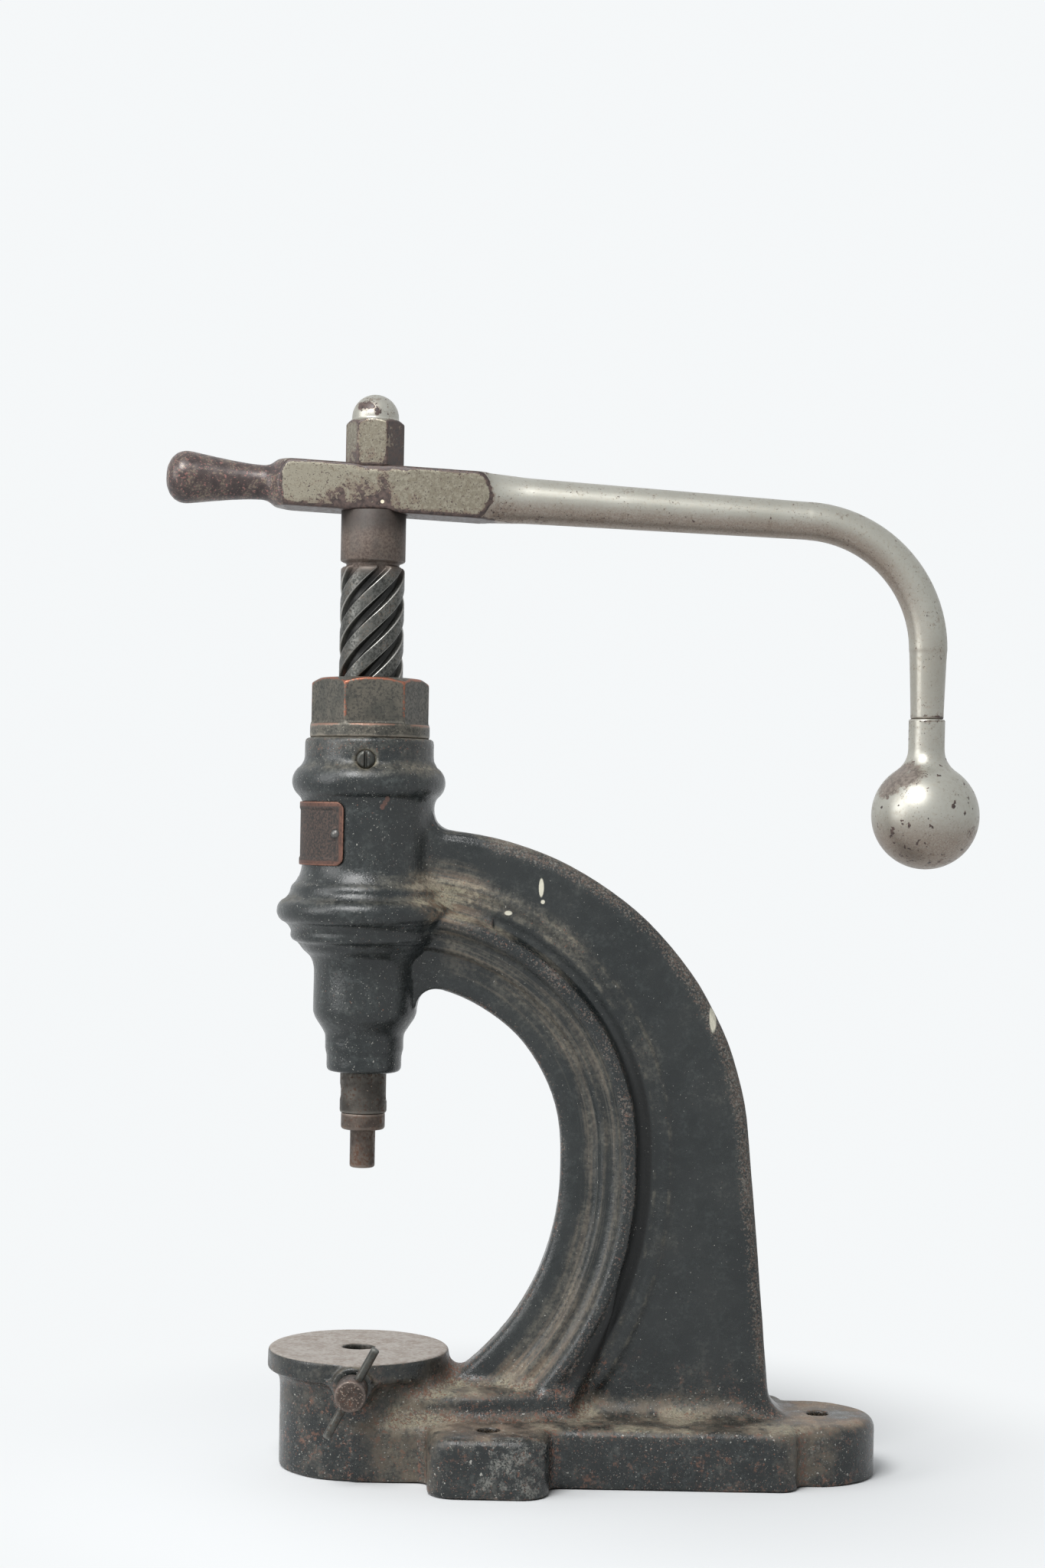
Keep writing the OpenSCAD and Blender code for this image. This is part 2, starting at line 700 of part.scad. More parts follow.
module punch() {
    color([0.43, 0.41, 0.38]) difference() {
        union() {
            translate([0, 0, ram_z0 - flange_h + 0.8]) cylinder(r = flange_r, h = flange_h - 0.8);
            translate([0, 0, ram_z0 - flange_h]) cylinder(r1 = flange_r - 0.8, r2 = flange_r, h = 0.8);
            translate([0, 0, ram_z0 - 1]) cylinder(r = punch_d / 2 - seat_gap, h = shank_l + 1);
            translate([0, 0, ram_z0 - flange_h - punch_l + 0.6])
                cylinder(r = punch_d / 2 - 0.1, h = punch_l);
            translate([0, 0, ram_z0 - flange_h - punch_l])
                cylinder(r1 = punch_d / 2 - 0.7, r2 = punch_d / 2 - 0.1, h = 0.6);
        }
        translate([-punch_d / 2 - 1, -10, grub_z - 4]) cube([1.6, 20, 8]);
    }
}

module punch_grub_screw() {
    tip = punch_d / 2 - 0.6;
    color([0.32, 0.31, 0.30]) translate([0, 0, grub_z]) rotate([0, -90, 0]) difference() {
        translate([0, 0, tip]) cylinder(r = grub_r, h = stem_r - 0.6 - tip);
        translate([-6, -0.5, stem_r - 1.8]) cube([12, 1, 4]);
    }
}

module spindle() {
    color([0.36, 0.33, 0.30]) difference() {
        union() {
            translate([0, 0, cup_z + disc_h]) cylinder(r = journal_r, h = thread_z0 - cup_z - disc_h + 0.5);
            thread(thread_z0, thread_z1, 0);
            translate([0, 0, thread_z1 - 0.5]) cylinder(r = root_r + 0.2, h = 8);
            translate([0, 0, collar_z]) cylinder(r = screw_r + 0.2, h = seat_z - collar_z);
            translate([-square_w / 2, -square_w / 2, seat_z - 1])
                cube([square_w, square_w, top_seat_z - seat_z]);
            translate([0, 0, top_seat_z - 2]) cylinder(r = stud_r, h = stud_l + 2);
        }
        translate([0, 0, pin_z - pin_r - 0.2]) difference() {
            cylinder(r = journal_r + 5, h = 2 * pin_r + 0.4);
            translate([0, 0, -1]) cylinder(r = groove_r, h = 2 * pin_r + 3);
        }
    }
}

// Turned outline of the grip, boss and rod: x is the radius, y the distance along the lever.
module lever_turned_2d() {
    g = grip_d / 2;
    polygon([
        [0, -97.5], [g * 0.42, -97], [g * 0.70, -95.4], [g * 0.88, -93.2], [g * 0.97, -90.8], [g, -88.6],
        [g * 0.985, -86.2], [g * 0.92, -81], [g * 0.86, -76.5], [g * 0.81, -72], [g * 0.76, -67.8],
        [g * 0.72, -63.5], [g * 0.685, -59.2], [g * 0.665, -55], [g * 0.66, -51.8], [g * 0.70, -49.4],
        [g * 0.83, -47], [13, -44.4], [boss_round_r - 1.2, -41.6], [boss_round_r - 0.2, -39.4],
        [boss_round_r, -37], [boss_round_r, 47.5], [boss_round_r - 0.3, 50], [boss_round_r - 1.2, 52],
        [boss_round_r - 2.2, 53.4], [boss_round_r - 3.4, 54.6], [boss_round_r - 4.5, 58], [11.5, 62.5],
        [11, 67], [10.75, 71.5], [bend_rod_r - 0.1, lever_x_bend],
        [bend_rod_r - 0.13, lever_x_bend + 2], [0, lever_x_bend + 2]
    ]);
}

module lever() {
    color([0.70, 0.69, 0.66]) difference() {
        union() {
            translate([0, 0, lever_z]) rotate([0, lever_droop, 0]) difference() {
                union() {
                    rotate([0, 90, 0]) rotate_extrude() lever_turned_2d();
                    translate([lever_x_bend, 0, -bend_r]) rotate([90, 0, 0]) rotate([0, 0, lever_droop])
                        rotate_extrude(angle = 90 - lever_droop)
                        translate([bend_r, 0]) circle(r = bend_rod_r);
                }
                for (s = [-1, 1]) {
                    translate([-52, -40, s > 0 ? boss_h / 2 : -boss_h / 2 - 20]) cube([126, 80, 20]);
                    translate([-52, s > 0 ? boss_w / 2 : -boss_w / 2 - 20, -40]) cube([126, 20, 80]);
                }
            }
            translate([lever_reach, 0, rod_end_z])
                cylinder(r1 = tip_r, r2 = bend_rod_r - 0.13, h = rod_drop + 2);
            translate([lever_reach, 0, rod_end_z - rod_screw_l])
                cylinder(r = rod_screw_r, h = rod_screw_l + 1);
        }
        translate([-square_w / 2 - seat_gap, -square_w / 2 - seat_gap, seat_z - 10])
            cube([square_w + 2 * seat_gap, square_w + 2 * seat_gap, 60]);
        translate([0, 0, seat_z - 20]) cylinder(r = screw_r + 0.8, h = 20);
        translate([0, 0, top_seat_z]) cylinder(r = dome_af / 2 / cos(30) + 0.5, h = 20);
    }
}

module dome_nut() {
    hex_h = 22.5;
    dome_r = dome_af / 2 - 1;
    color([0.66, 0.64, 0.60]) translate([0, 0, top_seat_z]) rotate([0, 0, -2.6]) difference() {
        union() {
            intersection() {
                cylinder(r = dome_af / 2 / cos(30), h = hex_h, $fn = 6);
                cylinder(r1 = dome_af / 2 + 1.3 * hex_h, r2 = dome_af / 2 - 1, h = hex_h);
            }
            cylinder(r = dome_r, h = hex_h + 1);
            translate([0, 0, hex_h + 1]) sphere(r = dome_r);
        }
        translate([0, 0, -1]) cylinder(r = stud_r + seat_gap, h = stud_l + 2);
    }
}

module ball_weight() {
    fil = neck_fillet_r;
    top = rod_end_z - ball_z;
    fil_z = sqrt(pow(ball_r + fil, 2) - pow(neck_r + fil, 2));
    k = ball_r / (ball_r + fil);
    flare = arc(neck_r + fil, fil_z, fil, 180, 180 + acos((neck_r + fil) / (ball_r + fil)), 8);
    color([0.70, 0.69, 0.66]) translate([lever_reach, 0, ball_z]) difference() {
        union() {
            sphere(r = ball_r);
            rotate_extrude() polygon(concat(
                [[0, 0], [0, top], [neck_r - 0.6, top], [neck_r, top - 0.6]],
                flare,
                [[k * (neck_r + fil) - 1.5, k * fil_z - 3]]
            ));
        }
        translate([0, 0, top - rod_screw_l - 2]) cylinder(r = rod_screw_r + seat_gap, h = rod_screw_l + 4);
    }
}

module clamp_pad() {
    color([0.62, 0.50, 0.26]) translate([0, 0, clamp_z]) rotate([90, 0, 0]) difference() {
        translate([0, 0, die_d / 2 + pad_gap]) cylinder(r = clamp_d / 2, h = clamp_pad_l);
        translate([0, 0, clamp_tip - spigot_l - 0.2]) cylinder(r = spigot_r + run_gap, h = spigot_l + 1);
    }
}

module clamp_screw() {
    color([0.30, 0.27, 0.25]) translate([0, 0, clamp_z]) rotate([90, 0, 0]) difference() {
        union() {
            translate([0, 0, clamp_tip - spigot_l]) cylinder(r = spigot_r, h = spigot_l + 1);
            translate([0, 0, clamp_tip]) cylinder(r = clamp_d / 2, h = head_y - clamp_tip + 1);
            translate([0, 0, head_y]) cylinder(r = clamp_head_d / 2, h = clamp_head_l - 0.7);
            translate([0, 0, head_y + clamp_head_l - 0.7])
                cylinder(r1 = clamp_head_d / 2, r2 = clamp_head_d / 2 - 0.7, h = 0.7);
        }
        translate([0, 0, head_y + clamp_head_l / 2]) rotate([0, 0, -bar_lean]) rotate([90, 0, 0])
            cylinder(r = bar_d / 2 + seat_gap, h = 40, center = true);
    }
}

module tommy_bar() {
    color([0.26, 0.26, 0.26]) translate([0, -head_y - clamp_head_l / 2, clamp_z]) rotate([0, bar_lean, 0]) {
        cylinder(r = bar_d / 2, h = bar_l - 1, center = true);
        for (m = [0, 1]) mirror([0, 0, m]) translate([0, 0, bar_l / 2 - 0.5])
            cylinder(r1 = bar_d / 2, r2 = bar_d / 2 - 0.5, h = 0.5);
    }
}

frame_casting();
spindle_nut();
nut_lock_screw();
nameplate();
nameplate_rivet_near();
nameplate_rivet_far();
ram_key();
ram();
thrust_disc();
ram_pin_near();
ram_pin_far();
punch();
punch_grub_screw();
spindle();
lever();
dome_nut();
ball_weight();
clamp_pad();
clamp_screw();
tommy_bar();
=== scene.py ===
"""Looks of the button press: worn enamel on the casting, dark oily steel, flaking nickel plate."""

import json
import math

import bpy
import numpy as np
import openvdb
from mathutils import Matrix, Vector

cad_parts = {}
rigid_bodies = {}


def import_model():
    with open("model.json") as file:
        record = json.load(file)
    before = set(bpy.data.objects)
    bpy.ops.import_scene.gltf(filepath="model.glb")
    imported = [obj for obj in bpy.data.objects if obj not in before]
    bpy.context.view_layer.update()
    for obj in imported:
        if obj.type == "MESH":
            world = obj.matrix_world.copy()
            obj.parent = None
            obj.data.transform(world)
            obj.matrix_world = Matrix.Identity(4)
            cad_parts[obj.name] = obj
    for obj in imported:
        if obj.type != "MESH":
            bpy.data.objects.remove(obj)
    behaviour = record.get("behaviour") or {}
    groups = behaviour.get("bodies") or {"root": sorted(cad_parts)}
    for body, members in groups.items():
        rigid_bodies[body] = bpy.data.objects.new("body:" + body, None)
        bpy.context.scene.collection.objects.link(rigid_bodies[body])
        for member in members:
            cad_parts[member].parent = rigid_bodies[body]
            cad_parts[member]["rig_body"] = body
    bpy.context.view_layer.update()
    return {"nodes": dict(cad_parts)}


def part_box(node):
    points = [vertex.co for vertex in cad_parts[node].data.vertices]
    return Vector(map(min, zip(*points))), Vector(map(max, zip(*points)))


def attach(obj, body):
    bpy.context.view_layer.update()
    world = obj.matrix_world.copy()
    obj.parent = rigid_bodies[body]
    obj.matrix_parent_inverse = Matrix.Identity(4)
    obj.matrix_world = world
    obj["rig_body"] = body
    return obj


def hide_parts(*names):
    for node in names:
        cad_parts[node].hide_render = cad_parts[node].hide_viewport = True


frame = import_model()
MM = 0.001

# Places on the part, in mm
SIDE_BOLT_X = 62
SIDE_BOLT_Y = 46
REAR_BOLT_X = 215.5
CLAMP_Z = 44
LOCK_SCREW_Z = 329
ROD_END = 353.1


# Rounded copies of the CAD nodes

EDGE_REACH = 1.3
CAVITY_REACH = 8.0
CAVITY_BLOCKS = 2.5
NORMAL_STEP = 0.7


def node_field(node, voxel, reach=4):
    """Signed distance to a CAD node, in voxels, on a dense grid; and the grid's first index."""
    mesh = frame["nodes"][node].data
    points = np.empty(len(mesh.vertices) * 3, np.float32)
    mesh.vertices.foreach_get("co", points)
    mesh.calc_loop_triangles()
    corners = np.empty(len(mesh.loop_triangles) * 3, np.int32)
    mesh.loop_triangles.foreach_get("vertices", corners)
    grid = openvdb.FloatGrid.createLevelSetFromPolygons(
        points.reshape(-1, 3),
        triangles=corners.reshape(-1, 3).astype(np.uint32),
        transform=openvdb.createLinearTransform(voxel * MM),
        halfWidth=float(reach),
    )
    low, high = (np.array(corner) for corner in grid.evalActiveVoxelBoundingBox())
    low = low - reach
    field = np.zeros(tuple(high + reach - low + 1), np.float32)
    grid.copyToArray(field, ijk=tuple(int(i) for i in low))
    return field / (voxel * MM), low


def blurred(field, sigma):
    """Gaussian blur of a dense grid; sigma is in voxels."""
    reach = max(1, int(3 * sigma + 0.5))
    weights = np.exp(-0.5 * (np.arange(-reach, reach + 1) / sigma) ** 2)
    weights = (weights / weights.sum()).astype(np.float32)
    for axis in range(3):
        margin = [(reach, reach) if a == axis else (0, 0) for a in range(3)]
        wide = np.moveaxis(np.pad(field, margin, mode="edge"), axis, 0)
        count = field.shape[axis]
        total = weights[reach] * wide[reach:reach + count]
        for i in range(reach):
            far = 2 * reach - i
            total += weights[i] * (wide[i:i + count] + wide[far:far + count])
        field = np.moveaxis(total, 0, axis)
    return np.ascontiguousarray(field)


def rolled(field, radius):
    """The field after a ball of radius voxels has rolled over it.

    Rolling outside fills the inner corners; a negative radius rolls inside and rounds the outer edges.
    """
    grid = openvdb.FloatGrid(float(field.max()))
    grid.copyFromArray(np.ascontiguousarray(field), ijk=(0, 0, 0))
    points, triangles, quads = grid.convertToPolygons(isovalue=radius)
    offset = openvdb.FloatGrid.createLevelSetFromPolygons(
        points.astype(np.float32), triangles=triangles, quads=quads,
        transform=openvdb.createLinearTransform(1.0), halfWidth=abs(radius) + 7,
    )
    result = np.zeros_like(field)
    offset.copyToArray(result, ijk=(0, 0, 0))
    return result + radius


def coarse(field, step):
    """Mean of each block of step voxels a side."""
    size = [n // step * step for n in field.shape]
    part = field[:size[0], :size[1], :size[2]]
    shape = [k for n in size for k in (n // step, step)]
    return part.reshape(shape).mean(axis=(1, 3, 5))


def sample(field, spots):
    """Values of a dense grid between its voxels."""
    spots = np.clip(spots, 0, np.array(field.shape) - 1.001)
    base = spots.astype(np.int64)
    part = (spots - base).astype(np.float32)
    total = np.zeros(len(spots), np.float32)
    for corner in range(8):
        step = np.array([corner & 1, corner >> 1 & 1, corner >> 2 & 1])
        weight = np.where(step, part, 1 - part).prod(axis=1)
        i, j, k = (base + step).T
        total += weight * field[i, j, k]
    return total


def unevenness(shape, step, seed):
    """Smooth random field of about unit size, with bumps step voxels apart."""
    waves = np.random.default_rng(seed).normal(size=[n // step + 3 for n in shape]).astype(np.float32)
    for axis, count in enumerate(shape):
        at = np.arange(count) / step
        first = at.astype(int)
        part = at - first
        part = (part * part * (3 - 2 * part)).astype(np.float32)
        form = [-1 if a == axis else 1 for a in range(3)]
        part = part.reshape(form)
        waves = waves.take(first, axis) * (1 - part) + waves.take(first + 1, axis) * part
    return waves


def add_attribute(mesh, name, values):
    mesh.attributes.new(name, "FLOAT", "POINT").data.foreach_set("value", values.astype(np.float32))


def link(name, mesh):
    piece = bpy.data.objects.new(name, mesh)
    bpy.context.scene.collection.objects.link(piece)
    return piece


def stand_for(piece, node):
    """The piece takes the place of a CAD node and moves with its body."""
    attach(piece, frame["nodes"][node]["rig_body"])
    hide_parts(node)


def softened(node, name, voxel, rounding, adapt=0.0, reshape=None, reach=4):
    """Copy of a CAD node with its edges worn round by about rounding mm.

    reshape(field, shape, places) may change the rounded field; places gives voxel centres in mm.
    Three values per vertex steer the finish: edge (worn corners), cavity (wide hollows) and up (how far the
    surface faces upward).
    """
    field, low = node_field(node, voxel, reach)
    solid = np.clip(0.5 - field, 0, 1)
    shape = blurred(field, rounding / voxel)
    if reshape:
        places = [((np.arange(n) + low[a]) * voxel).reshape([-1 if b == a else 1 for b in range(3)])
                  for a, n in enumerate(shape.shape)]
        shape = reshape(field, shape, places).astype(np.float32)
    grid = openvdb.FloatGrid(float(field.max()))
    grid.copyFromArray(np.ascontiguousarray(shape), ijk=tuple(int(i) for i in low))
    points, triangles, quads = grid.convertToPolygons(isovalue=0.0, adaptivity=adapt)
    spots = points - low
    normals = np.empty_like(points)
    for axis in range(3):
        step = np.eye(3)[axis] * NORMAL_STEP
        normals[:, axis] = sample(shape, spots + step) - sample(shape, spots - step)
    normals /= np.linalg.norm(normals, axis=1, keepdims=True) + 1e-9

    mesh = bpy.data.meshes.new(name)
    faces = quads.tolist() + triangles.tolist()
    mesh.from_pydata((points * voxel * MM).tolist(), [], faces)
    mesh.update()
    facing = np.empty(len(mesh.polygons) * 3, np.float32)
    mesh.polygons.foreach_get("normal", facing)
    first = np.array([f[0] for f in faces])
    if (facing.reshape(-1, 3) * normals[first]).sum() < 0:
        mesh.flip_normals()
    mesh.shade_smooth()
    mesh.normals_split_custom_set_from_vertices(normals.tolist())

    add_attribute(mesh, "edge", 0.5 - sample(blurred(solid, EDGE_REACH / max(voxel, 0.4)), spots))
    block = max(1, round(CAVITY_REACH / voxel / CAVITY_BLOCKS))
    wide = blurred(coarse(solid, block), CAVITY_REACH / (block * voxel))
    add_attribute(mesh, "cavity", sample(wide, (spots - (block - 1) / 2) / block) - 0.5)
    add_attribute(mesh, "up", normals[:, 2])
    piece = link(name, mesh)
    stand_for(piece, node)
    return piece


# Short calls for building materials

class Graph:
    """The node graph of a material, where places are object coordinates in metres, or of the world."""

    def __init__(self, owner, coordinates="Object"):
        self.owner = owner
        self.owner.use_nodes = True
        self.tree = self.owner.node_tree
        self.tree.nodes.clear()
        self.place = self.node("ShaderNodeTexCoord").outputs[coordinates]

    def node(self, kind, values=None, **settings):
        made = self.tree.nodes.new(kind)
        for key, value in settings.items():
            setattr(made, key, value)
        for key, value in (values or {}).items():
            socket = made.inputs[key]
            if isinstance(value, bpy.types.NodeSocket):
                self.tree.links.new(value, socket)
            elif socket.type == "RGBA":
                socket.default_value = (*value, 1)
            else:
                socket.default_value = value
        return made

    def math(self, operation, a, b=0.0):
        return self.node("ShaderNodeMath", {0: a, 1: b}, operation=operation).outputs[0]

    def times(self, *parts):
        total = parts[0]
        for part in parts[1:]:
            total = self.math("MULTIPLY", total, part)
        return total

    def plus(self, *parts):
        total = parts[0]
        for part in parts[1:]:
            total = self.math("ADD", total, part)
        return total

    def most(self, *parts):
        total = parts[0]
        for part in parts[1:]:
            total = self.math("MAXIMUM", total, part)
        return total

    def span(self, value, low, high, start=0.0, end=1.0):
        """Smooth step from start, where value is low, to end, where it is high."""
        return self.node("ShaderNodeMapRange", {
            "Value": value, "From Min": low, "From Max": high, "To Min": start, "To Max": end,
        }, interpolation_type="SMOOTHSTEP").outputs[0]

    def mix(self, share, a, b):
        return self.node("ShaderNodeMix", {0: share, 6: a, 7: b}, data_type="RGBA").outputs[2]

    def between(self, share, a, b):
        return self.node("ShaderNodeMix", {0: share, 2: a, 3: b}).outputs[0]

    def given(self, name):
        return self.node("ShaderNodeAttribute", attribute_name=name).outputs["Fac"]

    def noise(self, size, detail=3.0, rough=0.55, warp=0.0, shift=0.0):
        """Noise with bumps about size mm across."""
        at = self.node("ShaderNodeMapping", {"Vector": self.place, "Location": (shift,) * 3}).outputs[0]
        return self.node("ShaderNodeTexNoise", {
            "Vector": at, "Scale": 1 / (size * MM), "Detail": detail, "Roughness": rough, "Distortion": warp,
        }).outputs["Fac"]

    def grit(self, size, amount, shift=0.0, soft=0.05):
        """Irregular specks about size mm across; amount runs from 0, none, to 1, dense."""
        level = self.plus(self.noise(size, 2, 0.6, shift=shift), self.times(amount, 0.34))
        return self.span(level, 0.80, 0.80 + soft)

    def streaks(self, across, along):
        """Noise drawn out along the throat moulding; sizes in mm."""
        at = self.node("ShaderNodeCombineXYZ", {
            0: self.times(self.given("across"), 1 / across),
            1: self.times(self.given("along"), 1 / along),
            2: self.times(self.axis(1), 1 / (across * MM)),
        }).outputs[0]
        return self.node("ShaderNodeTexNoise", {"Vector": at, "Scale": 1.0, "Detail": 3.0}).outputs["Fac"]

    def axis(self, index):
        return self.node("ShaderNodeSeparateXYZ", {0: self.place}).outputs[index]

    def near(self, centre, radius, soft, stretch=(1, 1, 1)):
        """1 within radius mm of a place in mm, fading over soft mm; stretch squeezes an axis."""
        offset = self.node("ShaderNodeVectorMath", {0: self.place, 1: tuple(c * MM for c in centre)},
                           operation="SUBTRACT").outputs[0]
        offset = self.node("ShaderNodeVectorMath", {0: offset, 1: stretch}, operation="MULTIPLY").outputs[0]
        length = self.node("ShaderNodeVectorMath", {0: offset}, operation="LENGTH").outputs["Value"]
        return self.span(length, (radius + soft) * MM, radius * MM)

    def finish(self, colour, rough, metal, height, depth, **fixed):
        """Joins the colour, gloss and relief to the surface; depth is the relief in mm."""
        shader = self.node("ShaderNodeBsdfPrincipled", {
            "Base Color": colour, "Roughness": rough, "Metallic": metal,
        })
        for key, value in fixed.items():
            shader.inputs[key.replace("_", " ")].default_value = value
        relief = self.node("ShaderNodeBump", {"Height": height, "Strength": 1.0, "Distance": depth * MM})
        self.tree.links.new(relief.outputs[0], shader.inputs["Normal"])
        self.node("ShaderNodeOutputMaterial", {0: shader.outputs[0]})
        return self.owner


def dress(piece, material):
    piece.data.materials.clear()
    piece.data.materials.append(material)


# Finishes

def enamel_iron():
    g = Graph(bpy.data.materials.new("worn_enamel"))
    edge, cavity, up = (g.given(n) for n in ("edge", "cavity", "up"))
    across, along, inset = (g.given(n) for n in ("across", "along", "inset"))
    x, y, z = (g.axis(i) for i in range(3))
    patch = g.noise(26, 5, 0.6, shift=7.3)
    middle = g.noise(8, 5, 0.65, shift=3.1)
    fine = g.noise(2.0, 4, 0.7, shift=5.7)
    grain = g.noise(0.9, 2, 0.6)
    in_plan = (1, 1, 0)
    flat = g.node("ShaderNodeVectorMath", {0: g.place, 1: in_plan}, operation="MULTIPLY").outputs[0]
    radius = g.node("ShaderNodeVectorMath", {0: flat}, operation="LENGTH").outputs["Value"]

    # parts of the casting
    low = g.span(z, 0.062, 0.034)
    barrel = g.times(g.span(z, 0.170, 0.190), g.span(x, 0.042, 0.030))
    sweep = g.times(g.span(g.math("ABSOLUTE", y), 0.029, 0.025), g.span(x, 0.026, 0.044),
                    g.span(z, 0.036, 0.050))
    band = g.times(sweep, g.span(across, 6, 12), g.span(across, 31, 26))
    crest = g.times(sweep, g.span(across, 26.5, 30), g.span(across, 37.0, 35.0))
    cove = g.times(sweep, g.span(across, 34.5, 36.5), g.span(across, 43.5, 41.5))
    arch = g.times(sweep, g.span(along, 30, 105))
    ribs = g.times(sweep, g.span(along, 0, 105, 0.25, 1.0), g.span(across, 41, 45), g.span(across, 58, 51))
    back = g.times(g.span(inset, 10, 3), g.span(z, 0.040, 0.060), g.span(x, 0.045, 0.060))
    throat = g.times(sweep, g.span(across, 5, 0))
    corner = g.times(g.span(edge, 0.03, 0.16), g.plus(1.0, g.times(barrel, -0.75)))
    hollow = g.times(g.span(cavity, 0.03, 0.20), g.plus(1.0, g.times(cove, -0.9), g.times(barrel, -0.70)))
    ledge = g.times(g.span(up, 0.35, 0.95), g.plus(1.0, g.times(barrel, -0.45)),
                    g.span(patch, 0.40, 0.60, 0.35, 1.3))
    front = g.times(low, g.span(up, 0.35, 0.0))
    foot = g.times(band, g.span(along, -35, -115))
    lugs = g.most(*(g.near((SIDE_BOLT_X, side, 27), 15, 12) for side in (-SIDE_BOLT_Y, SIDE_BOLT_Y)),
                  g.near((216, 0, 27), 20, 14))
    collar = g.times(barrel, g.span(z, 0.322, 0.336))
    drum = g.times(g.span(radius, 0.054, 0.045), g.span(z, 0.058, 0.0565),
                   g.span(z, 0.012, 0.040, 0.3, 1.0))
    middle_rings = g.times(g.span(z, 0.258, 0.265), g.span(z, 0.286, 0.279),
                           g.span(x, -0.030, 0.025, 0.45, 1.0))
    upper_ring = g.times(g.span(z, 0.3165, 0.3205), g.span(z, 0.333, 0.327),
                         g.span(x, -0.030, 0.020, 0.3, 0.9))
    rings = g.times(barrel, g.most(middle_rings, upper_ring), g.span(up, 0.05, 0.55))
    soiled = g.most(g.near((30, -42, 18), 12, 22), g.near((30, 42, 18), 12, 22),
                    g.near((206, -33, 14), 6, 18), g.near((206, 33, 14), 6, 18))
    lines = g.most(g.times(g.span(across, 42.6, 43.4), g.span(across, 45.0, 44.2)),
                   g.times(g.span(across, 49.6, 50.4), g.span(across, 52.2, 51.2)))
    waist = g.most(g.near((40, -22, 266), 4, 24), g.near((40, 22, 266), 4, 24))
    # painted shade: the lower part of the cove beside the nose ridge, where the nose casts its shadow
    painted_cove_shade = g.times(cove, g.span(along, 55, 15))
    screw = g.near((0, -28, LOCK_SCREW_Z), 3.5, 4.5)

    colour = g.mix(g.span(patch, 0.35, 0.65), (0.0075, 0.0106, 0.0110), (0.0150, 0.0182, 0.0182))
    bloom = g.times(g.span(middle, 0.40, 0.70), g.span(fine, 0.40, 0.62))
    bloom = g.times(bloom, g.plus(0.30, g.times(barrel, 0.32), g.times(front, 0.35)))
    colour = g.mix(bloom, colour, (0.062, 0.072, 0.070))

    # a thin film of dust, then thick dust in the hollows and on the ledges, and painted shade in the lower
    # cove
    streak = g.streaks(4.0, 70)
    scratch = g.streaks(1.2, 60)
    gathered = g.plus(g.times(hollow, 0.68), g.times(ledge, 0.40), g.times(low, 0.13), g.times(front, -0.11),
                      g.times(rings, 0.29), g.times(drum, 0.19),
                      g.times(waist, g.span(streak, 0.38, 0.62, 0.24, 0.72)),
                      g.times(ribs, 0.28), g.times(band, g.span(streak, 0.36, 0.66, 0.08, 0.34)),
                      g.times(arch, band, 0.08), g.times(soiled, 0.34), g.times(collar, 0.16),
                      g.times(back, 0.12), g.times(foot, 0.30),
                      g.times(sweep, lines, g.span(middle, 0.42, 0.62, 0.0, 0.20)), g.times(screw, 0.55),
                      g.times(patch, 0.60), g.times(middle, 0.40), g.times(fine, 0.30), -0.07)
    film = g.times(g.span(gathered, 0.62, 1.15), g.plus(1.0, g.times(painted_cove_shade, -1.0)))
    thin = g.mix(g.span(fine, 0.38, 0.60), (0.046, 0.043, 0.036), (0.130, 0.120, 0.094))
    thin = g.mix(g.times(g.most(soiled, low, drum), g.span(middle, 0.40, 0.60)), thin, (0.140, 0.113, 0.082))
    tinged = g.most(foot, waist, g.times(band, 0.35))
    thin = g.mix(g.times(tinged, g.span(scratch, 0.42, 0.58)), thin, (0.170, 0.114, 0.074))
    thin = g.mix(g.times(lugs, 0.7), thin, (0.165, 0.122, 0.090))
    colour = g.mix(g.times(film, 0.85), colour, thin)
    colour = g.mix(g.times(band, g.span(scratch, 0.55, 0.66), 0.22), colour, (0.160, 0.148, 0.118))
    heavy = g.span(gathered, 1.02, 1.40)
    tint = g.mix(g.span(middle, 0.35, 0.65), (0.345, 0.318, 0.228), (0.290, 0.250, 0.188))
    tint = g.mix(g.times(g.span(grain, 0.45, 0.62), 0.40), tint, (0.090, 0.080, 0.062))
    tint = g.mix(g.times(lugs, g.span(middle, 0.35, 0.62, 0.4, 0.9)), tint, (0.255, 0.186, 0.138))
    colour = g.mix(g.times(heavy, g.span(fine, 0.32, 0.58, 0.45, 0.95)), colour, tint)
    # painted shadow: the lower cove turns near-black
    colour = g.mix(g.times(painted_cove_shade, 0.9), colour, (0.0035, 0.0040, 0.0040))

    # chipped specks, thick along the edges
    dense = g.plus(g.times(corner, 0.34), g.times(back, 0.80), g.times(throat, 0.50), g.times(low, 0.28),
                   g.times(crest, 0.50), g.times(ribs, 0.32), g.times(barrel, 0.14), g.times(collar, 0.25),
                   g.times(patch, 0.6), -0.16)
    brown = g.grit(1.2, dense, 1.1)
    colour = g.mix(g.times(brown, 0.8), colour, (0.105, 0.080, 0.066))
    grey = g.grit(1.0, g.times(dense, 0.80), 9.4)
    colour = g.mix(g.times(grey, 0.6), colour, (0.200, 0.190, 0.170))
    reddish = g.plus(g.times(dense, 0.75), g.times(back, -0.35), g.times(crest, -0.12), g.times(low, 0.14))
    red = g.grit(1.5, reddish, 21.3, 0.03)
    colour = g.mix(g.times(red, 0.75), colour, (0.165, 0.076, 0.050))
    pale = g.grit(0.9, g.plus(g.times(low, 0.14), g.times(barrel, 0.10), 0.25), 13.7, 0.03)
    dots = g.grit(2.6, g.plus(g.times(low, 0.12), 0.14), 33.1, 0.02)
    colour = g.mix(g.times(g.most(pale, dots), 0.8), colour, (0.42, 0.41, 0.37))

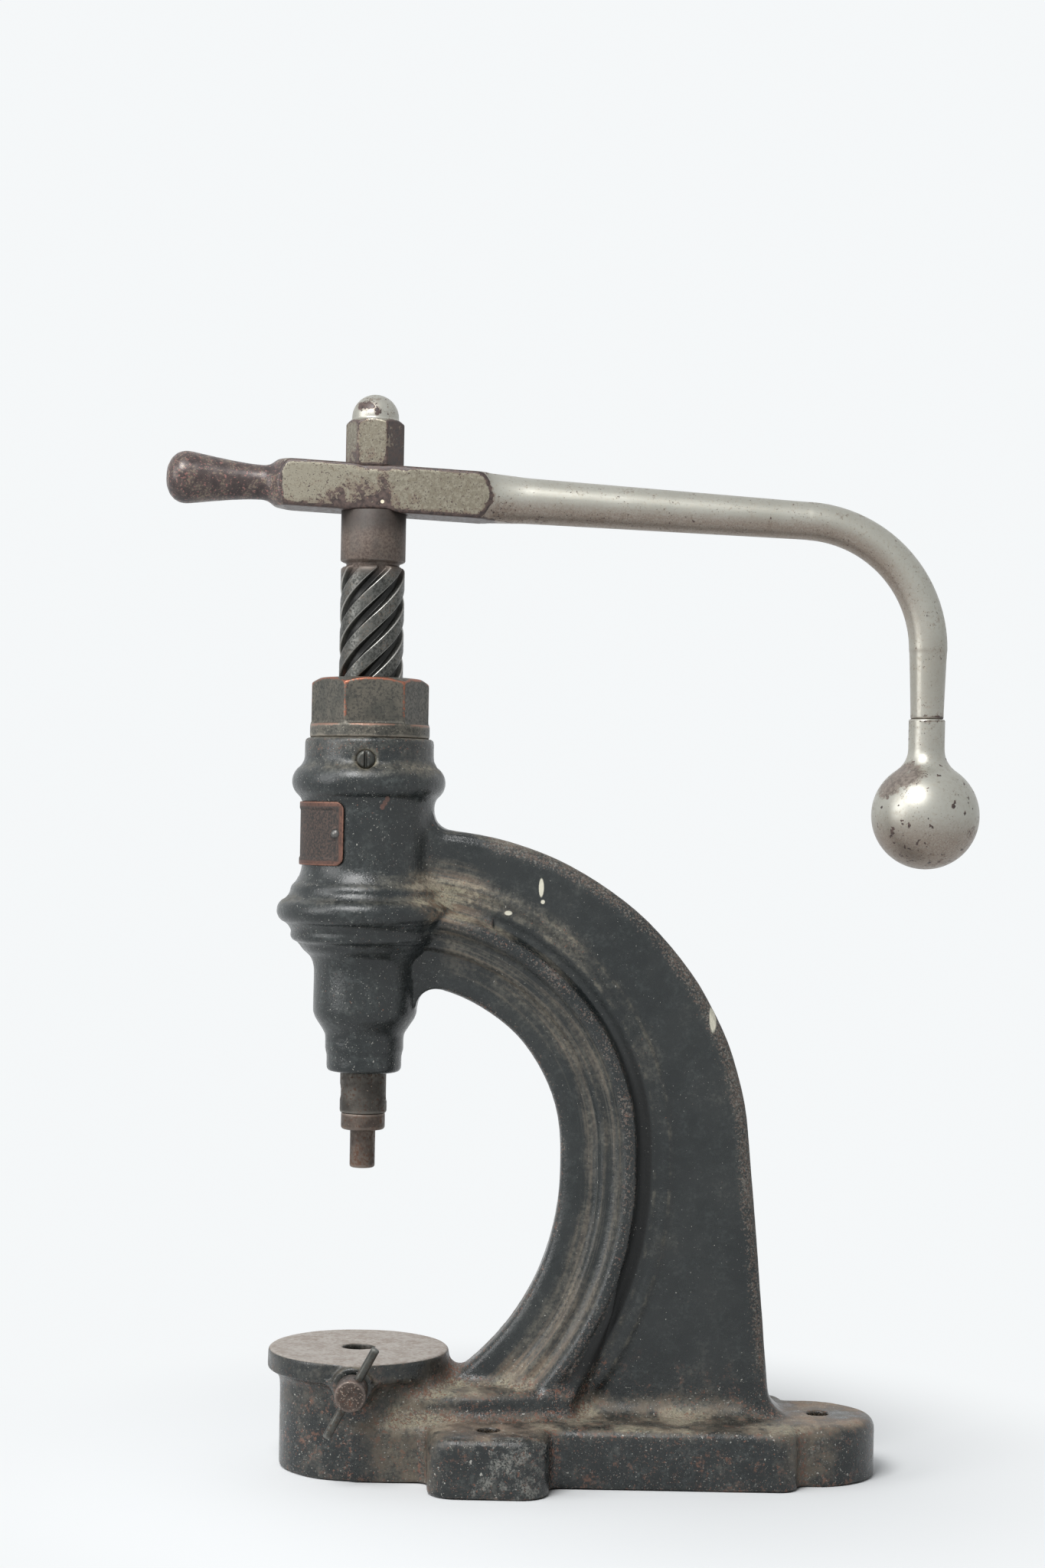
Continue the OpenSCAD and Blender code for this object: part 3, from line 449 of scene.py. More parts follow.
    # rust and pale scuffs low on the base
    stain = g.times(g.span(g.noise(7, 5, 0.72, shift=11.9), 0.55, 0.66), low)
    colour = g.mix(g.times(stain, g.span(fine, 0.42, 0.58), 0.85), colour, (0.145, 0.072, 0.048))
    worn_side = g.plus(g.times(g.near((72, -66, 10), 10, 20), 0.16),
                       g.times(g.near((215, -31, 14), 8, 16), 0.06))
    scuff = g.times(g.span(g.plus(g.noise(7, 6, 0.72, shift=17.2), worn_side), 0.62, 0.74), low)
    colour = g.mix(g.times(scuff, g.span(grain, 0.35, 0.60), 0.75), colour, (0.235, 0.235, 0.215))

    # bare top of the table, and the holes
    table = g.times(g.span(z, 0.0531, 0.0538), g.span(z, 0.0600, 0.0570), g.span(radius, 0.0440, 0.0425),
                    g.span(up, 0.5, 0.9))
    tone = g.span(g.plus(fine, g.times(middle, 0.6)), 0.65, 0.95)
    bare = g.mix(tone, (0.400, 0.365, 0.332), (0.285, 0.243, 0.210))
    bare = g.mix(g.times(g.grit(1.0, 0.34, 2.2), 0.6), bare, (0.09, 0.070, 0.058))
    colour = g.mix(table, colour, bare)
    bolts = ((SIDE_BOLT_X, -SIDE_BOLT_Y, 0), (SIDE_BOLT_X, SIDE_BOLT_Y, 0), (REAR_BOLT_X, 0, 0))
    bores = [g.near((0, 0, 0), 7.8, 0.4, in_plan)] + [g.near(bolt, 5.1, 0.4, in_plan) for bolt in bolts]
    rusty = g.mix(g.span(grain, 0.42, 0.60), (0.012, 0.010, 0.008), (0.085, 0.066, 0.048))
    colour = g.mix(g.times(g.most(*bores), low), colour, rusty)

    # splashes of cream paint, and one red-brown scrape on the barrel
    paint = (0.60, 0.575, 0.47)
    for centre, size, soft, stretch in (
        ((81.6, -12, 271.2), 1.0, 0.3, (1, 0.3, 0.27)), ((82.4, -12, 264.6), 0.8, 0.3, (1, 0.4, 1)),
        ((66.5, -16, 259.2), 1.0, 0.4, (0.6, 0.2, 1)), ((111.3, -21, 214.0), 0.7, 0.3, (0.9, 0.3, 0.28)),
        ((162.4, -10, 211.5), 1.3, 0.5, (0.9, 0.5, 0.22)),
    ):
        colour = g.mix(g.near(centre, size, soft, stretch), colour, paint)
    for centre in ((8.0, -30, 307.4), (9.2, -30, 309.2), (10.3, -30, 311.0)):
        colour = g.mix(g.times(g.near(centre, 0.8, 0.5, (1, 0.3, 0.8)), 0.8), colour, (0.13, 0.062, 0.046))

    matt = g.most(g.times(film, 0.55), g.times(heavy, 0.9), g.times(table, 0.55), scuff, g.times(painted_cove_shade, 0.7),
                  g.times(back, 0.5))
    rough = g.between(matt, g.between(brown, g.span(middle, 0.3, 0.7, 0.17, 0.33), 0.6), 0.88)
    height = g.plus(g.times(fine, 0.9), g.times(grain, 0.45), g.times(middle, 0.7), g.times(brown, 0.3),
                    g.times(band, g.plus(streak, scratch), 0.4))
    return g.finish(colour, rough, g.times(table, 0.35), height, 0.22)


def bare_steel(name, dark, light, rust, rough_low, rough_high, metal=0.75, rusty=0.35, specks=0.30):
    """Handled steel with a brown patina: dark and light are its tones."""
    g = Graph(bpy.data.materials.new(name))
    edge = g.given("edge")
    middle = g.noise(9, 5, 0.6)
    fine = g.noise(1.5, 4, 0.65, shift=2.3)
    grain = g.noise(0.45, 2)
    colour = g.mix(g.span(middle, 0.35, 0.68), dark, light)
    colour = g.mix(g.times(g.span(fine, 0.45, 0.7), 0.45), colour, tuple(c * 0.5 for c in dark))
    spots = g.span(g.plus(fine, g.times(middle, 0.5)), 0.80, 0.93)
    colour = g.mix(g.times(spots, rusty), colour, rust)
    colour = g.mix(g.times(g.grit(0.9, specks, 12.3, 0.03), 0.8), colour, (0.30, 0.235, 0.19))
    shine = g.span(g.plus(edge, g.times(fine, 0.12)), 0.12, 0.30)
    colour = g.mix(g.times(shine, 0.6), colour, tuple(min(1, c * 2.6 + 0.05) for c in light))
    rough = g.between(spots, g.span(fine, 0.3, 0.7, rough_low, rough_high), 0.85)
    height = g.plus(g.times(fine, 0.5), g.times(grain, 0.5))
    return g.finish(colour, rough, metal, height, 0.07)


DARK_IRON = ((0.034, 0.023, 0.021), (0.086, 0.057, 0.048))
BROWN_IRON = ((0.110, 0.090, 0.076), (0.210, 0.178, 0.152))


def nickel(name, bare_bias, grip=None, dull=None, stain=None):
    """Satin nickel plate that flakes to dark iron where bare_bias(graph) is high.

    grip(graph) is all bare, and under stain(graph) the iron is brown. dull(graph) gives where the plate is
    tarnished and pitted, and how much darker than usual.
    """
    g = Graph(bpy.data.materials.new(name))
    edge, up = g.given("edge"), g.given("up")
    broad = g.noise(40, 3)
    middle = g.noise(6, 5, 0.62, warp=0.6, shift=1.7)
    fine = g.noise(1.8, 4, 0.6, shift=4.1)
    grain = g.noise(0.8, 2, 0.6, shift=8.8)
    pull = g.plus(g.times(middle, 0.75), g.times(fine, 0.30), g.times(edge, 2.2), bare_bias(g))
    plate = g.mix(g.span(broad, 0.35, 0.65), (0.345, 0.337, 0.296), (0.400, 0.392, 0.350))
    haze = g.times(g.span(fine, 0.40, 0.70), g.span(middle, 0.3, 0.7, 0.3, 0.8))
    plate = g.mix(g.times(haze, 0.5), plate, (0.300, 0.268, 0.208))
    specks = g.grit(1.0, g.span(middle, 0.35, 0.65, 0.30, 0.60), 15.2)
    plate = g.mix(g.times(specks, 0.55), plate, (0.150, 0.125, 0.098))
    if dull is not None:
        flat, darker = dull(g)
        level = g.plus(fine, g.times(grain, 0.5), darker)
        worn = g.mix(g.span(level, 0.60, 0.92), (0.256, 0.234, 0.176), (0.142, 0.124, 0.085))
        plate = g.mix(g.times(flat, 0.85), plate, worn)
    shade = g.times(g.span(up, 0.15, -0.55), g.span(grain, 0.3, 0.6, 0.50, 0.85))
    plate = g.mix(shade, plate, (0.222, 0.170, 0.136))
    dirt = g.grit(0.8, g.span(up, 0.3, -0.5, 0.10, 0.55), 27.4)
    plate = g.mix(g.times(dirt, 0.6), plate, (0.110, 0.082, 0.068))
    plate = g.mix(g.times(g.span(pull, 0.60, 0.80), 0.6), plate, (0.175, 0.128, 0.098))
    iron = g.mix(g.span(fine, 0.35, 0.65), *DARK_IRON)
    iron = g.mix(g.times(g.grit(1.2, 0.36, 5.1), 0.7), iron, (0.21, 0.130, 0.085))
    flake = g.span(pull, 0.795, 0.812)
    spots = g.grit(1.1, g.span(pull, 0.40, 0.80, 0.08, 0.70), 6.6, 0.02)
    flake = g.most(flake, spots)
    if dull is not None:
        pits = g.most(g.grit(0.8, 0.47, 19.6, 0.02), g.grit(1.7, 0.40, 23.9, 0.02))
        flake = g.most(flake, g.times(flat, pits, 0.9))
    if stain is not None:
        iron = g.mix(stain(g), iron, g.mix(g.span(fine, 0.35, 0.65), *BROWN_IRON))
    colour = g.mix(flake, plate, iron)
    rough = g.between(flake, g.span(haze, 0.0, 0.7, 0.36, 0.47), g.span(fine, 0.3, 0.7, 0.32, 0.54))
    if grip is not None:
        held = grip(g)
        hand = g.mix(g.span(middle, 0.35, 0.65), (0.036, 0.025, 0.024), (0.080, 0.058, 0.053))
        pale = g.grit(1.0, g.span(middle, 0.42, 0.62, 0.36, 0.92), 5.1)
        hand = g.mix(g.times(pale, 0.7), hand, (0.185, 0.145, 0.105))
        hand = g.mix(g.times(g.grit(1.2, 0.58, 25.1), 0.8), hand, (0.25, 0.118, 0.102))
        paint_drop = g.near((4.6, -13.5, 449.0), 0.7, 0.3)
        colour = g.mix(paint_drop, colour, (0.72, 0.66, 0.50))
        colour = g.mix(held, colour, hand)
        rough = g.between(held, rough, g.span(fine, 0.3, 0.7, 0.25, 0.46))
        flake = g.most(flake, held)
    metal = g.between(flake, 0.68, 0.15)
    height = g.plus(g.times(flake, -0.8), g.times(fine, 0.14), g.times(grain, 0.10))
    return g.finish(colour, rough, metal, height, 0.12)


def bronze_nut():
    g = Graph(bpy.data.materials.new("dark_bronze"))
    edge, z = g.given("edge"), g.axis(2)
    middle = g.noise(10, 5, 0.6)
    fine = g.noise(1.3, 4, 0.65, shift=2.9)
    colour = g.mix(g.span(middle, 0.35, 0.65), (0.058, 0.056, 0.046), (0.104, 0.094, 0.075))
    colour = g.mix(g.times(g.span(fine, 0.46, 0.62), 0.75), colour, (0.022, 0.023, 0.021))
    flange = g.span(z, 0.3478, 0.3462)
    pale = g.grit(0.8, g.plus(g.times(flange, 0.25), 0.32), 3.3)
    rims = g.times(flange, g.span(g.plus(edge, g.times(middle, 0.3), g.times(fine, 0.2)), 0.30, 0.40))
    colour = g.mix(g.times(g.most(pale, rims), 0.55), colour, (0.30, 0.275, 0.225))
    worn = g.span(g.plus(edge, g.times(fine, 0.20), g.times(middle, 0.14)), 0.255, 0.300)
    worn = g.times(worn, g.plus(1.0, g.times(flange, -0.5), g.times(g.span(z, 0.3440, 0.3425), -0.45)))
    colour = g.mix(g.times(worn, 0.9), colour, (0.30, 0.115, 0.072))
    rough = g.between(worn, g.span(fine, 0.3, 0.7, 0.40, 0.58), 0.34)
    return g.finish(colour, rough, g.between(worn, 0.35, 0.85), g.plus(fine, g.times(pale, 0.4)), 0.09)


def copper_plate():
    g = Graph(bpy.data.materials.new("brown_copper"))
    rim = g.given("rim")
    middle = g.noise(6, 5, 0.6)
    fine = g.noise(1.0, 4, 0.65)
    colour = g.mix(g.span(middle, 0.35, 0.65), (0.085, 0.046, 0.036), (0.135, 0.068, 0.050))
    colour = g.mix(g.times(g.span(fine, 0.45, 0.65), 0.6), colour, (0.045, 0.031, 0.027))
    dark = g.mix(g.span(fine, 0.38, 0.66), (0.020, 0.018, 0.017), (0.070, 0.047, 0.038))
    inner = g.span(g.plus(rim, g.times(middle, 1.6)), 2.5, 3.4)
    colour = g.mix(inner, colour, dark)
    bright = g.times(g.span(rim, 1.0, 0.4), g.span(fine, 0.35, 0.55))
    colour = g.mix(g.times(bright, 0.7), colour, (0.27, 0.135, 0.096))
    rough = g.between(inner, g.span(fine, 0.3, 0.7, 0.40, 0.60), 0.66)
    return g.finish(colour, rough, g.between(inner, 0.5, 0.0), fine, 0.05, Specular_IOR_Level=0.35)


def oily_thread():
    g = Graph(bpy.data.materials.new("oily_thread"))
    crest, edge, root, brown = (g.given(n) for n in ("crest", "edge", "root", "brown"))
    middle = g.noise(8, 5, 0.6)
    fine = g.noise(1.1, 4, 0.7)
    colour = g.mix(g.span(middle, 0.35, 0.65), (0.058, 0.060, 0.055), (0.100, 0.100, 0.091))
    pits = g.span(fine, 0.50, 0.66)
    colour = g.mix(g.times(pits, 0.7), colour, (0.022, 0.021, 0.020))
    colour = g.mix(g.times(crest, g.span(fine, 0.55, 0.40), 0.40), colour, (0.17, 0.165, 0.155))
    rust = g.grit(0.9, g.span(middle, 0.40, 0.60, 0.2, 0.7), 7.7)
    colour = g.mix(g.times(crest, rust, 0.6), colour, (0.150, 0.112, 0.085))
    colour = g.mix(g.times(root, 0.85), colour, (0.014, 0.014, 0.014))
    # painted highlight: pale colour along the edges of the thread and the collar
    colour = g.mix(g.times(g.span(edge, 0.4, 0.9), 0.80), colour, (0.50, 0.49, 0.46))
    dust_and_painted_shadow = g.mix(g.span(fine, 0.35, 0.65), (0.070, 0.049, 0.040), (0.140, 0.108, 0.088))
    # painted shadow: the collar darkens towards its top, under the lever boss
    shaded = g.span(g.plus(g.axis(2), g.times(middle, 0.004)), 0.433, 0.443)
    dust_and_painted_shadow = g.mix(g.times(shaded, 0.8), dust_and_painted_shadow, (0.032, 0.025, 0.022))
    colour = g.mix(g.times(brown, g.span(middle, 0.25, 0.6, 0.6, 1.0)), colour, dust_and_painted_shadow)
    rough = g.between(brown, g.between(root, g.span(fine, 0.35, 0.65, 0.30, 0.48), 0.34), 0.55)
    metal = g.between(brown, 0.85, 0.35)
    return g.finish(colour, rough, metal, g.plus(fine, g.times(middle, 0.3)), 0.06)


bronze = bronze_nut()
brown_steel = bare_steel("brown_steel", (0.060, 0.047, 0.040), (0.125, 0.100, 0.083), (0.20, 0.085, 0.045),
                         0.38, 0.6)
dark_steel = bare_steel("dark_steel", (0.030, 0.032, 0.030), (0.078, 0.078, 0.070), (0.13, 0.07, 0.045),
                        0.34, 0.56)
worn_steel = bare_steel("worn_steel", (0.10, 0.098, 0.094), (0.20, 0.195, 0.185), (0.13, 0.07, 0.045),
                        0.30, 0.5, metal=0.9, rusty=0.2)
knob_steel = bare_steel("knob_steel", (0.038, 0.030, 0.026), (0.088, 0.067, 0.056), (0.17, 0.075, 0.05),
                        0.40, 0.6, metal=0.6, rusty=0.6, specks=0.57)
ground_steel = bare_steel("ground_steel", (0.33, 0.33, 0.33), (0.46, 0.46, 0.455), (0.20, 0.12, 0.07),
                          0.26, 0.42, metal=1.0, rusty=0.1)
ram_steel = bare_steel("ram_steel", (0.044, 0.039, 0.034), (0.092, 0.084, 0.073), (0.15, 0.070, 0.045),
                       0.36, 0.58)


# Casting

CAST_VOXEL = 0.8
BASE_TOP_Z = 84
BARREL_FOOT_Z = 240
BARREL_BACK_X = 60
INNER_ROLL = 5.0
OUTER_ROLL = 2.4
RING_BLUR = 3.4
SKIN_HEIGHT = 0.10
SKIN_STEP = 14
SKIN_SEED = 5
CLAMP_BORE_GAP = 0.15


def cast_fillets(field, shape, places):
    """Rolls the inner corners and outer edges of the base as cast; the machined rim and holes stay crisp.

    It also softens the rings of the barrel, makes the skin uneven and opens the clamp bore a little.
    """
    x, y, z = places
    voxel = CAST_VOXEL

    # base and table
    count = int((z < BASE_TOP_Z).sum())
    slab = field[:, :, :count]
    z = z[:, :, :count]
    radius = np.hypot(x, y)
    bolts = np.minimum(np.hypot(x - SIDE_BOLT_X, np.abs(y) - SIDE_BOLT_Y), np.hypot(x - REAR_BOLT_X, y))
    clear = np.clip((np.minimum(bolts, radius - 4) - 9) / 4, 0, 1)
    clear = clear * np.clip((np.hypot(x, z - CLAMP_Z) - 8) / 3 + (y > 0), 0, 1)
    base = clear * np.clip((70 - z) / 16, 0, 1)
    low = shape[:, :, :count]
    filled = blurred(rolled(slab, INNER_ROLL / voxel), 0.9 / voxel)
    low = low + base * (np.minimum(low, filled) - low)
    outside = np.clip((radius - 44) / 4, 0, 1)
    edges = base * outside * np.clip((z - 7) / 4, 0, 1)
    low = low + edges * (np.maximum(low, rolled(low, -OUTER_ROLL / voxel)) - low)
    rim = (radius < 47) & (z > 46.5) & (z < 58)
    crisp = blurred(slab, 0.5 / voxel)
    joined = clear * np.clip((x - 26) / 8, 0, 1)
    crisp = crisp + joined * (np.minimum(crisp, filled) - crisp)
    rim = rim | (bolts < 8) & (z > 20) & (z < 32)
    shape[:, :, :count] = np.where(rim, crisp, low)

    # barrel
    z = places[2]
    first, last = int((z < BARREL_FOOT_Z).sum()), int((x < BARREL_BACK_X).sum())
    part = field[:last, :, first:]
    head = np.clip((np.hypot(x[:last], y) - 26) / 3, 0, 1) * np.clip((z[:, :, first:] - 244) / 6, 0, 1)
    lock = np.hypot(x[:last], z[:, :, first:] - LOCK_SCREW_Z) + 99 * (y > 0)
    head = head * np.clip((lock - 6) / 4, 0, 1)
    high = shape[:last, :, first:]
    shape[:last, :, first:] = high + 0.8 * head * (np.minimum(high, blurred(part, RING_BLUR / voxel)) - high)

    # skin and clamp bore
    clamp = np.clip(9.5 - np.hypot(x, z - CLAMP_Z), 0, 1) * (y < 0)
    uneven = SKIN_HEIGHT * unevenness(shape.shape, round(SKIN_STEP / voxel), SKIN_SEED)
    return shape + ((1 - clamp) * uneven + clamp * CLAMP_BORE_GAP) / voxel


# Centre x, centre z and radius of the arcs that the column follows, and the z where its back turns straight
UPPER_THROAT = (16.8, 149.0, 76.0)
LOWER_THROAT = (-25.2, 138.0, 118.0)
BACK = (26.4, 142.8, 154.6)
BACK_STRAIGHT_Z = 157
BACK_LEAN = math.radians(5.3)


def column_places(mesh):
    """Three more values, in mm: across and along the throat moulding, and inset from the column's back."""
    points = np.array([v.co for v in mesh.vertices]) / MM
    x, z = points[:, 0], points[:, 2]

    def polar(arc):
        return np.hypot(x - arc[0], z - arc[1]) - arc[2], np.arctan2(z - arc[1], x - arc[0]) * arc[2]

    (upper, upper_run), (lower, lower_run) = polar(UPPER_THROAT), polar(LOWER_THROAT)
    top, bottom = UPPER_THROAT[1], LOWER_THROAT[1]
    above, below = z > top, z < bottom
    middle = x - UPPER_THROAT[0] - UPPER_THROAT[2]
    add_attribute(mesh, "across", np.where(above, upper, np.where(below, lower, middle)))
    lower_run = lower_run + bottom - top
    add_attribute(mesh, "along", np.where(above, upper_run, np.where(below, lower_run, z - top)))
    centre_x, centre_z, radius = BACK
    straight = centre_x + radius / math.cos(BACK_LEAN) + (centre_z - z) * math.tan(BACK_LEAN) - x
    curved = radius - np.hypot(x - centre_x, z - centre_z)
    add_attribute(mesh, "inset", np.where(z > BACK_STRAIGHT_Z, curved, straight * math.cos(BACK_LEAN)))


casting = softened("frame_casting", "cast_frame", CAST_VOXEL, 0.65, 0.015, cast_fillets, 10)
column_places(casting.data)
dress(casting, enamel_iron())


# Spindle: a formula thread that follows the CAD one, and the turned lengths above and below it

SCREW_R = 15.0
ROOT_R = 12.2
LEAD = 86.0
STARTS = 6
THREAD_Z0 = 312.3
THREAD_Z1 = 418.3
THREAD_STEPS = 72
JOURNAL_R = 11.2
GROOVE_R = 8.3
GROOVE_Z0 = 285.0
GROOVE_Z1 = 290.0
COLLAR_R = 15.2
COLLAR_Z = 422.1
SEAT_Z = 445.5
STUD_R = 8.0
TIP_R = 0.01


def thread_profile():
    """(angle in degrees, radius, crest, edge, root) round one thread, rounded at its corners."""
    turn = 360 / STARTS
    half = [
        (0.0, SCREW_R, 1, 0, 0), (7.5, SCREW_R, 1, 0, 0), (13.5, SCREW_R, 1, 0.15, 0),
        (15.2, SCREW_R - 0.06, 0.7, 0.8, 0), (16.1, SCREW_R - 0.28, 0.3, 1.0, 0),
        (17.0, SCREW_R - 0.75, 0, 0.5, 0.1), (19.3, (SCREW_R + ROOT_R) / 2 - 0.15, 0, 0, 0.35),
        (21.4, ROOT_R + 0.45, 0, 0, 0.75), (22.8, ROOT_R + 0.1, 0, 0, 0.95), (25.5, ROOT_R, 0, 0, 1.0),
    ]
    back = [(turn - a, r, c, e, d) for a, r, c, e, d in reversed(half[1:])]
    return half + [(turn / 2, ROOT_R, 0, 0, 1.0)] + back


def spindle_mesh():
    """Rings of points from the journal to the stud; the thread's columns follow its helix."""
    columns = [(i * 360 / STARTS + a, r, c, e, d)
               for i in range(STARTS) for a, r, c, e, d in thread_profile()]
    angles = np.array([c[0] for c in columns])
    n = len(angles)
    rings = []

    def ring(z, radii, *marks):
        turn = np.radians(angles + 360 * (min(max(z, THREAD_Z0), THREAD_Z1) - THREAD_Z0) / LEAD)
        xyz = np.stack([radii * np.cos(turn), radii * np.sin(turn), np.full(n, z)], axis=1)
        rings.append((xyz, np.stack([np.full(n, v) if np.isscalar(v) else v for v in marks])))

    def plain(z, radius, edge=0.0, brown=0.0):
        ring(z, np.full(n, radius), 0.0, edge, 0.0, brown)

    lo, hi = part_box("spindle")
    foot, head = lo.z / MM, hi.z / MM
    for z, r in ((foot, TIP_R), (foot, JOURNAL_R - 0.6), (foot + 0.6, JOURNAL_R), (GROOVE_Z0, JOURNAL_R),
                 (GROOVE_Z0 + 0.2, GROOVE_R), (GROOVE_Z1, GROOVE_R), (GROOVE_Z1 + 0.2, JOURNAL_R),
                 (THREAD_Z0, JOURNAL_R)):
        plain(z, r)
    profile = np.array([c[1] for c in columns])
    marks = [np.array([c[k] for c in columns], float) for k in (2, 3, 4)]
    for i in range(THREAD_STEPS + 1):
        z = THREAD_Z0 + (THREAD_Z1 - THREAD_Z0) * i / THREAD_STEPS
        ring(z, profile, *marks, 0.75 * max(0.0, (z - THREAD_Z1 + 6) / 6) ** 2)
    ring(THREAD_Z1 + 0.9, np.minimum(profile, 14.2), *marks, 0.9)
    for z, r, edge in ((THREAD_Z1 + 1.5, 12.5, 0.0), (THREAD_Z1 + 2.2, 12.4, 0.0),
                       (COLLAR_Z - 1.0, 12.6, 0.0), (COLLAR_Z - 0.4, 14.2, 0.3), (COLLAR_Z, 14.9, 0.8),
                       (COLLAR_Z + 0.5, COLLAR_R, 0.4), (COLLAR_Z + 8, COLLAR_R, 0.0),
                       (SEAT_Z - 0.3, COLLAR_R, 0.0), (SEAT_Z, COLLAR_R - 0.2, 0.2), (SEAT_Z, STUD_R, 0.0),
                       (head, STUD_R, 0.0), (head, TIP_R, 0.0)):
        plain(z, r, edge, 1.0)
    faces = []
    for k in range(len(rings) - 1):
        a, b = k * n, (k + 1) * n
        faces += [(a + i, a + (i + 1) % n, b + (i + 1) % n, b + i) for i in range(n)]
    mesh = bpy.data.meshes.new("screw_spindle")
    mesh.from_pydata((np.concatenate([r[0] for r in rings]) * MM).tolist(), [], faces)
    mesh.update()
    mesh.shade_smooth()
    marks = np.concatenate([r[1] for r in rings], axis=1)
    for name, values in zip(("crest", "edge", "root", "brown"), marks):
        add_attribute(mesh, name, values)
    return mesh


spindle = link("screw_spindle", spindle_mesh())
stand_for(spindle, "spindle")
dress(spindle, oily_thread())


# Nut, lock screw and nameplate

dress(softened("spindle_nut", "bronze_nut", 0.5, 0.42), bronze)
dress(softened("nut_lock_screw", "lock_screw", 0.25, 0.34), dark_steel)
plate = softened("nameplate", "name_plate", 0.3, 0.22)
co = np.array([v.co for v in plate.data.vertices]) / MM
low, high = (np.array(c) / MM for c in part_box("nameplate"))
rim = np.minimum(np.minimum(co[:, 2] - low[2], high[2] - co[:, 2]), high[0] - co[:, 0])
add_attribute(plate.data, "rim", rim)
dress(plate, copper_plate())


# Ram, punch and clamp

dress(softened("ram", "ram_stem", 0.5, 0.35), ram_steel)
dress(softened("punch", "punch_tool", 0.4, 0.36), brown_steel)
dress(softened("clamp_screw", "clamp_knob", 0.4, 0.36), knob_steel)
dress(softened("tommy_bar", "cross_bar", 0.3, 0.3), dark_steel)


# Lever, dome nut and ball

BALL_VOXEL = 0.6
NECK_BLUR = 6


def lever_bias(g):
    """How readily the lever's plate flakes: most along the boss outline, least at the butt joint."""
    x, up = g.axis(0), g.given("up")
    depth = g.math("ABSOLUTE", g.axis(1))
    boss = g.times(g.span(x, -0.046, -0.042), g.span(x, 0.0585, 0.0550))
    outline = g.times(boss, g.span(depth, 0.01346, 0.01338), g.span(depth, 0.0122, 0.0126), 0.34)
    joint = g.times(g.near((253, 0, ROD_END), 14, 2, (1, 1, 14)), -0.6)
    under = g.times(g.span(up, -0.1, -0.8, 0.0, 0.09), g.span(x, 0.22, 0.08, 0.4, 1.0))
    chips = g.times(g.near((-8, -13, 450), 5, 14, (0.8, 0.6, 1)), 0.20)
    crack = g.times(g.near((5.5, -13, 456), 1.5, 4, (1, 0.4, 0.35)), 0.22)
    lower = g.times(g.near((-2, -13, 444), 8, 30, (0.45, 0.8, 1.8)), 0.13)
    left = g.times(g.near((-46, 0, 458), 6, 12), 0.22)
    right = g.times(g.near((52, 0, 453), 4, 10), 0.06)
    bottom = g.times(boss, g.span(up, -0.6, -0.9), 0.36)
    return g.plus(outline, joint, under, chips, crack, lower, left, right, bottom, -0.05)


def grip_bare(g):
    """The turned grip, left of the boss."""
    return g.span(g.plus(g.axis(0), g.times(g.noise(4, 4, 0.6), 0.003)), -0.0398, -0.0406)


def boss_flats(g):
    """The two flat sides of the boss, darker to the right."""
    flats = g.span(g.math("ABSOLUTE", g.axis(1)), 0.0132, 0.0134)
    return flats, g.span(g.axis(0), -0.035, 0.030, -0.12, 0.05)


def ball_shoulder(g):
    """The bare patch on the ball's shoulder."""
    stretch = (0.75, 0.5, 0.9)
    return g.most(g.near((249, -14, 328), 4, 6, stretch), g.near((240, -12, 322), 3, 6, stretch))


def ball_bias(g):
    """How readily the ball's plate flakes."""
    chips = g.times(g.grit(4.5, 0.42, 41.5, 0.02), 0.5)
    under = g.span(g.given("up"), 0.2, -0.9, 0.0, 0.15)
    brown = g.times(g.near((282, -8, 303), 4, 14), 0.10)
    joint = g.times(g.near((256, 0, ROD_END), 14, 2, (1, 1, 14)), -0.6)
    return g.plus(g.times(ball_shoulder(g), 0.42), chips, under, brown, joint, -0.10)


def hexagon_faces(g):
    """The dome nut below its dome."""
    return g.span(g.axis(2), 0.4885, 0.4865), 0.06


def dome_bias(g):
    """How readily the dome nut's plate flakes."""
    x, z = g.axis(0), g.axis(2)
    right = g.span(x, 0.0050, 0.0080, 0.0, 0.34)
    left = g.span(x, -0.0060, -0.0085, 0.0, 0.12)
    foot = g.span(z, 0.478, 0.468, 0.0, 0.20)
    chip = g.times(g.most(g.near((-4, -9, 494), 1.4, 3.4, (0.6, 0.5, 1.3)),
                          g.near((1.5, -11, 491), 0.6, 2.4, (1, 0.5, 0.6))), 0.36)
    hexagon = g.span(z, 0.490, 0.487)
    return g.plus(g.times(hexagon, g.plus(right, left)), foot, chip, -0.03)


def crisp_joint(field, shape, places):
    """Keeps the butt joint of rod and ball sharp."""
    return np.where(np.abs(places[2] - ROD_END) < 4, field, shape)


def pear(field, shape, places):
    """Draws the neck out into the ball."""
    full = np.minimum(shape, blurred(field, NECK_BLUR / BALL_VOXEL))
    share = np.clip((345 - places[2]) / 6, 0, 1)
    return crisp_joint(field, shape + share * (full - shape), places)


lever = softened("lever", "lever_arm", 0.7, 0.5, 0.004, crisp_joint)
dress(lever, nickel("flaked_nickel_lever", lever_bias, grip_bare, boss_flats))
dome = softened("dome_nut", "dome_cap_nut", 0.35, 0.34)
dress(dome, nickel("flaked_nickel_dome", dome_bias, dull=hexagon_faces))
ball = softened("ball_weight", "lever_ball", BALL_VOXEL, 0.45, 0.004, pear, 16)
dress(ball, nickel("flaked_nickel_ball", ball_bias, stain=ball_shoulder))


# Small and inner CAD pieces keep their solids

for node in ("ram_key", "thrust_disc", "ram_pin_near", "ram_pin_far"):
    dress(frame["nodes"][node], ground_steel)
for node in ("nameplate_rivet_near", "nameplate_rivet_far"):
    dress(frame["nodes"][node], worn_steel)
dress(frame["nodes"]["punch_grub_screw"], brown_steel)
dress(frame["nodes"]["clamp_pad"], bronze)


# Stage, light and camera

BACKDROP = (0.915, 0.935, 0.945)


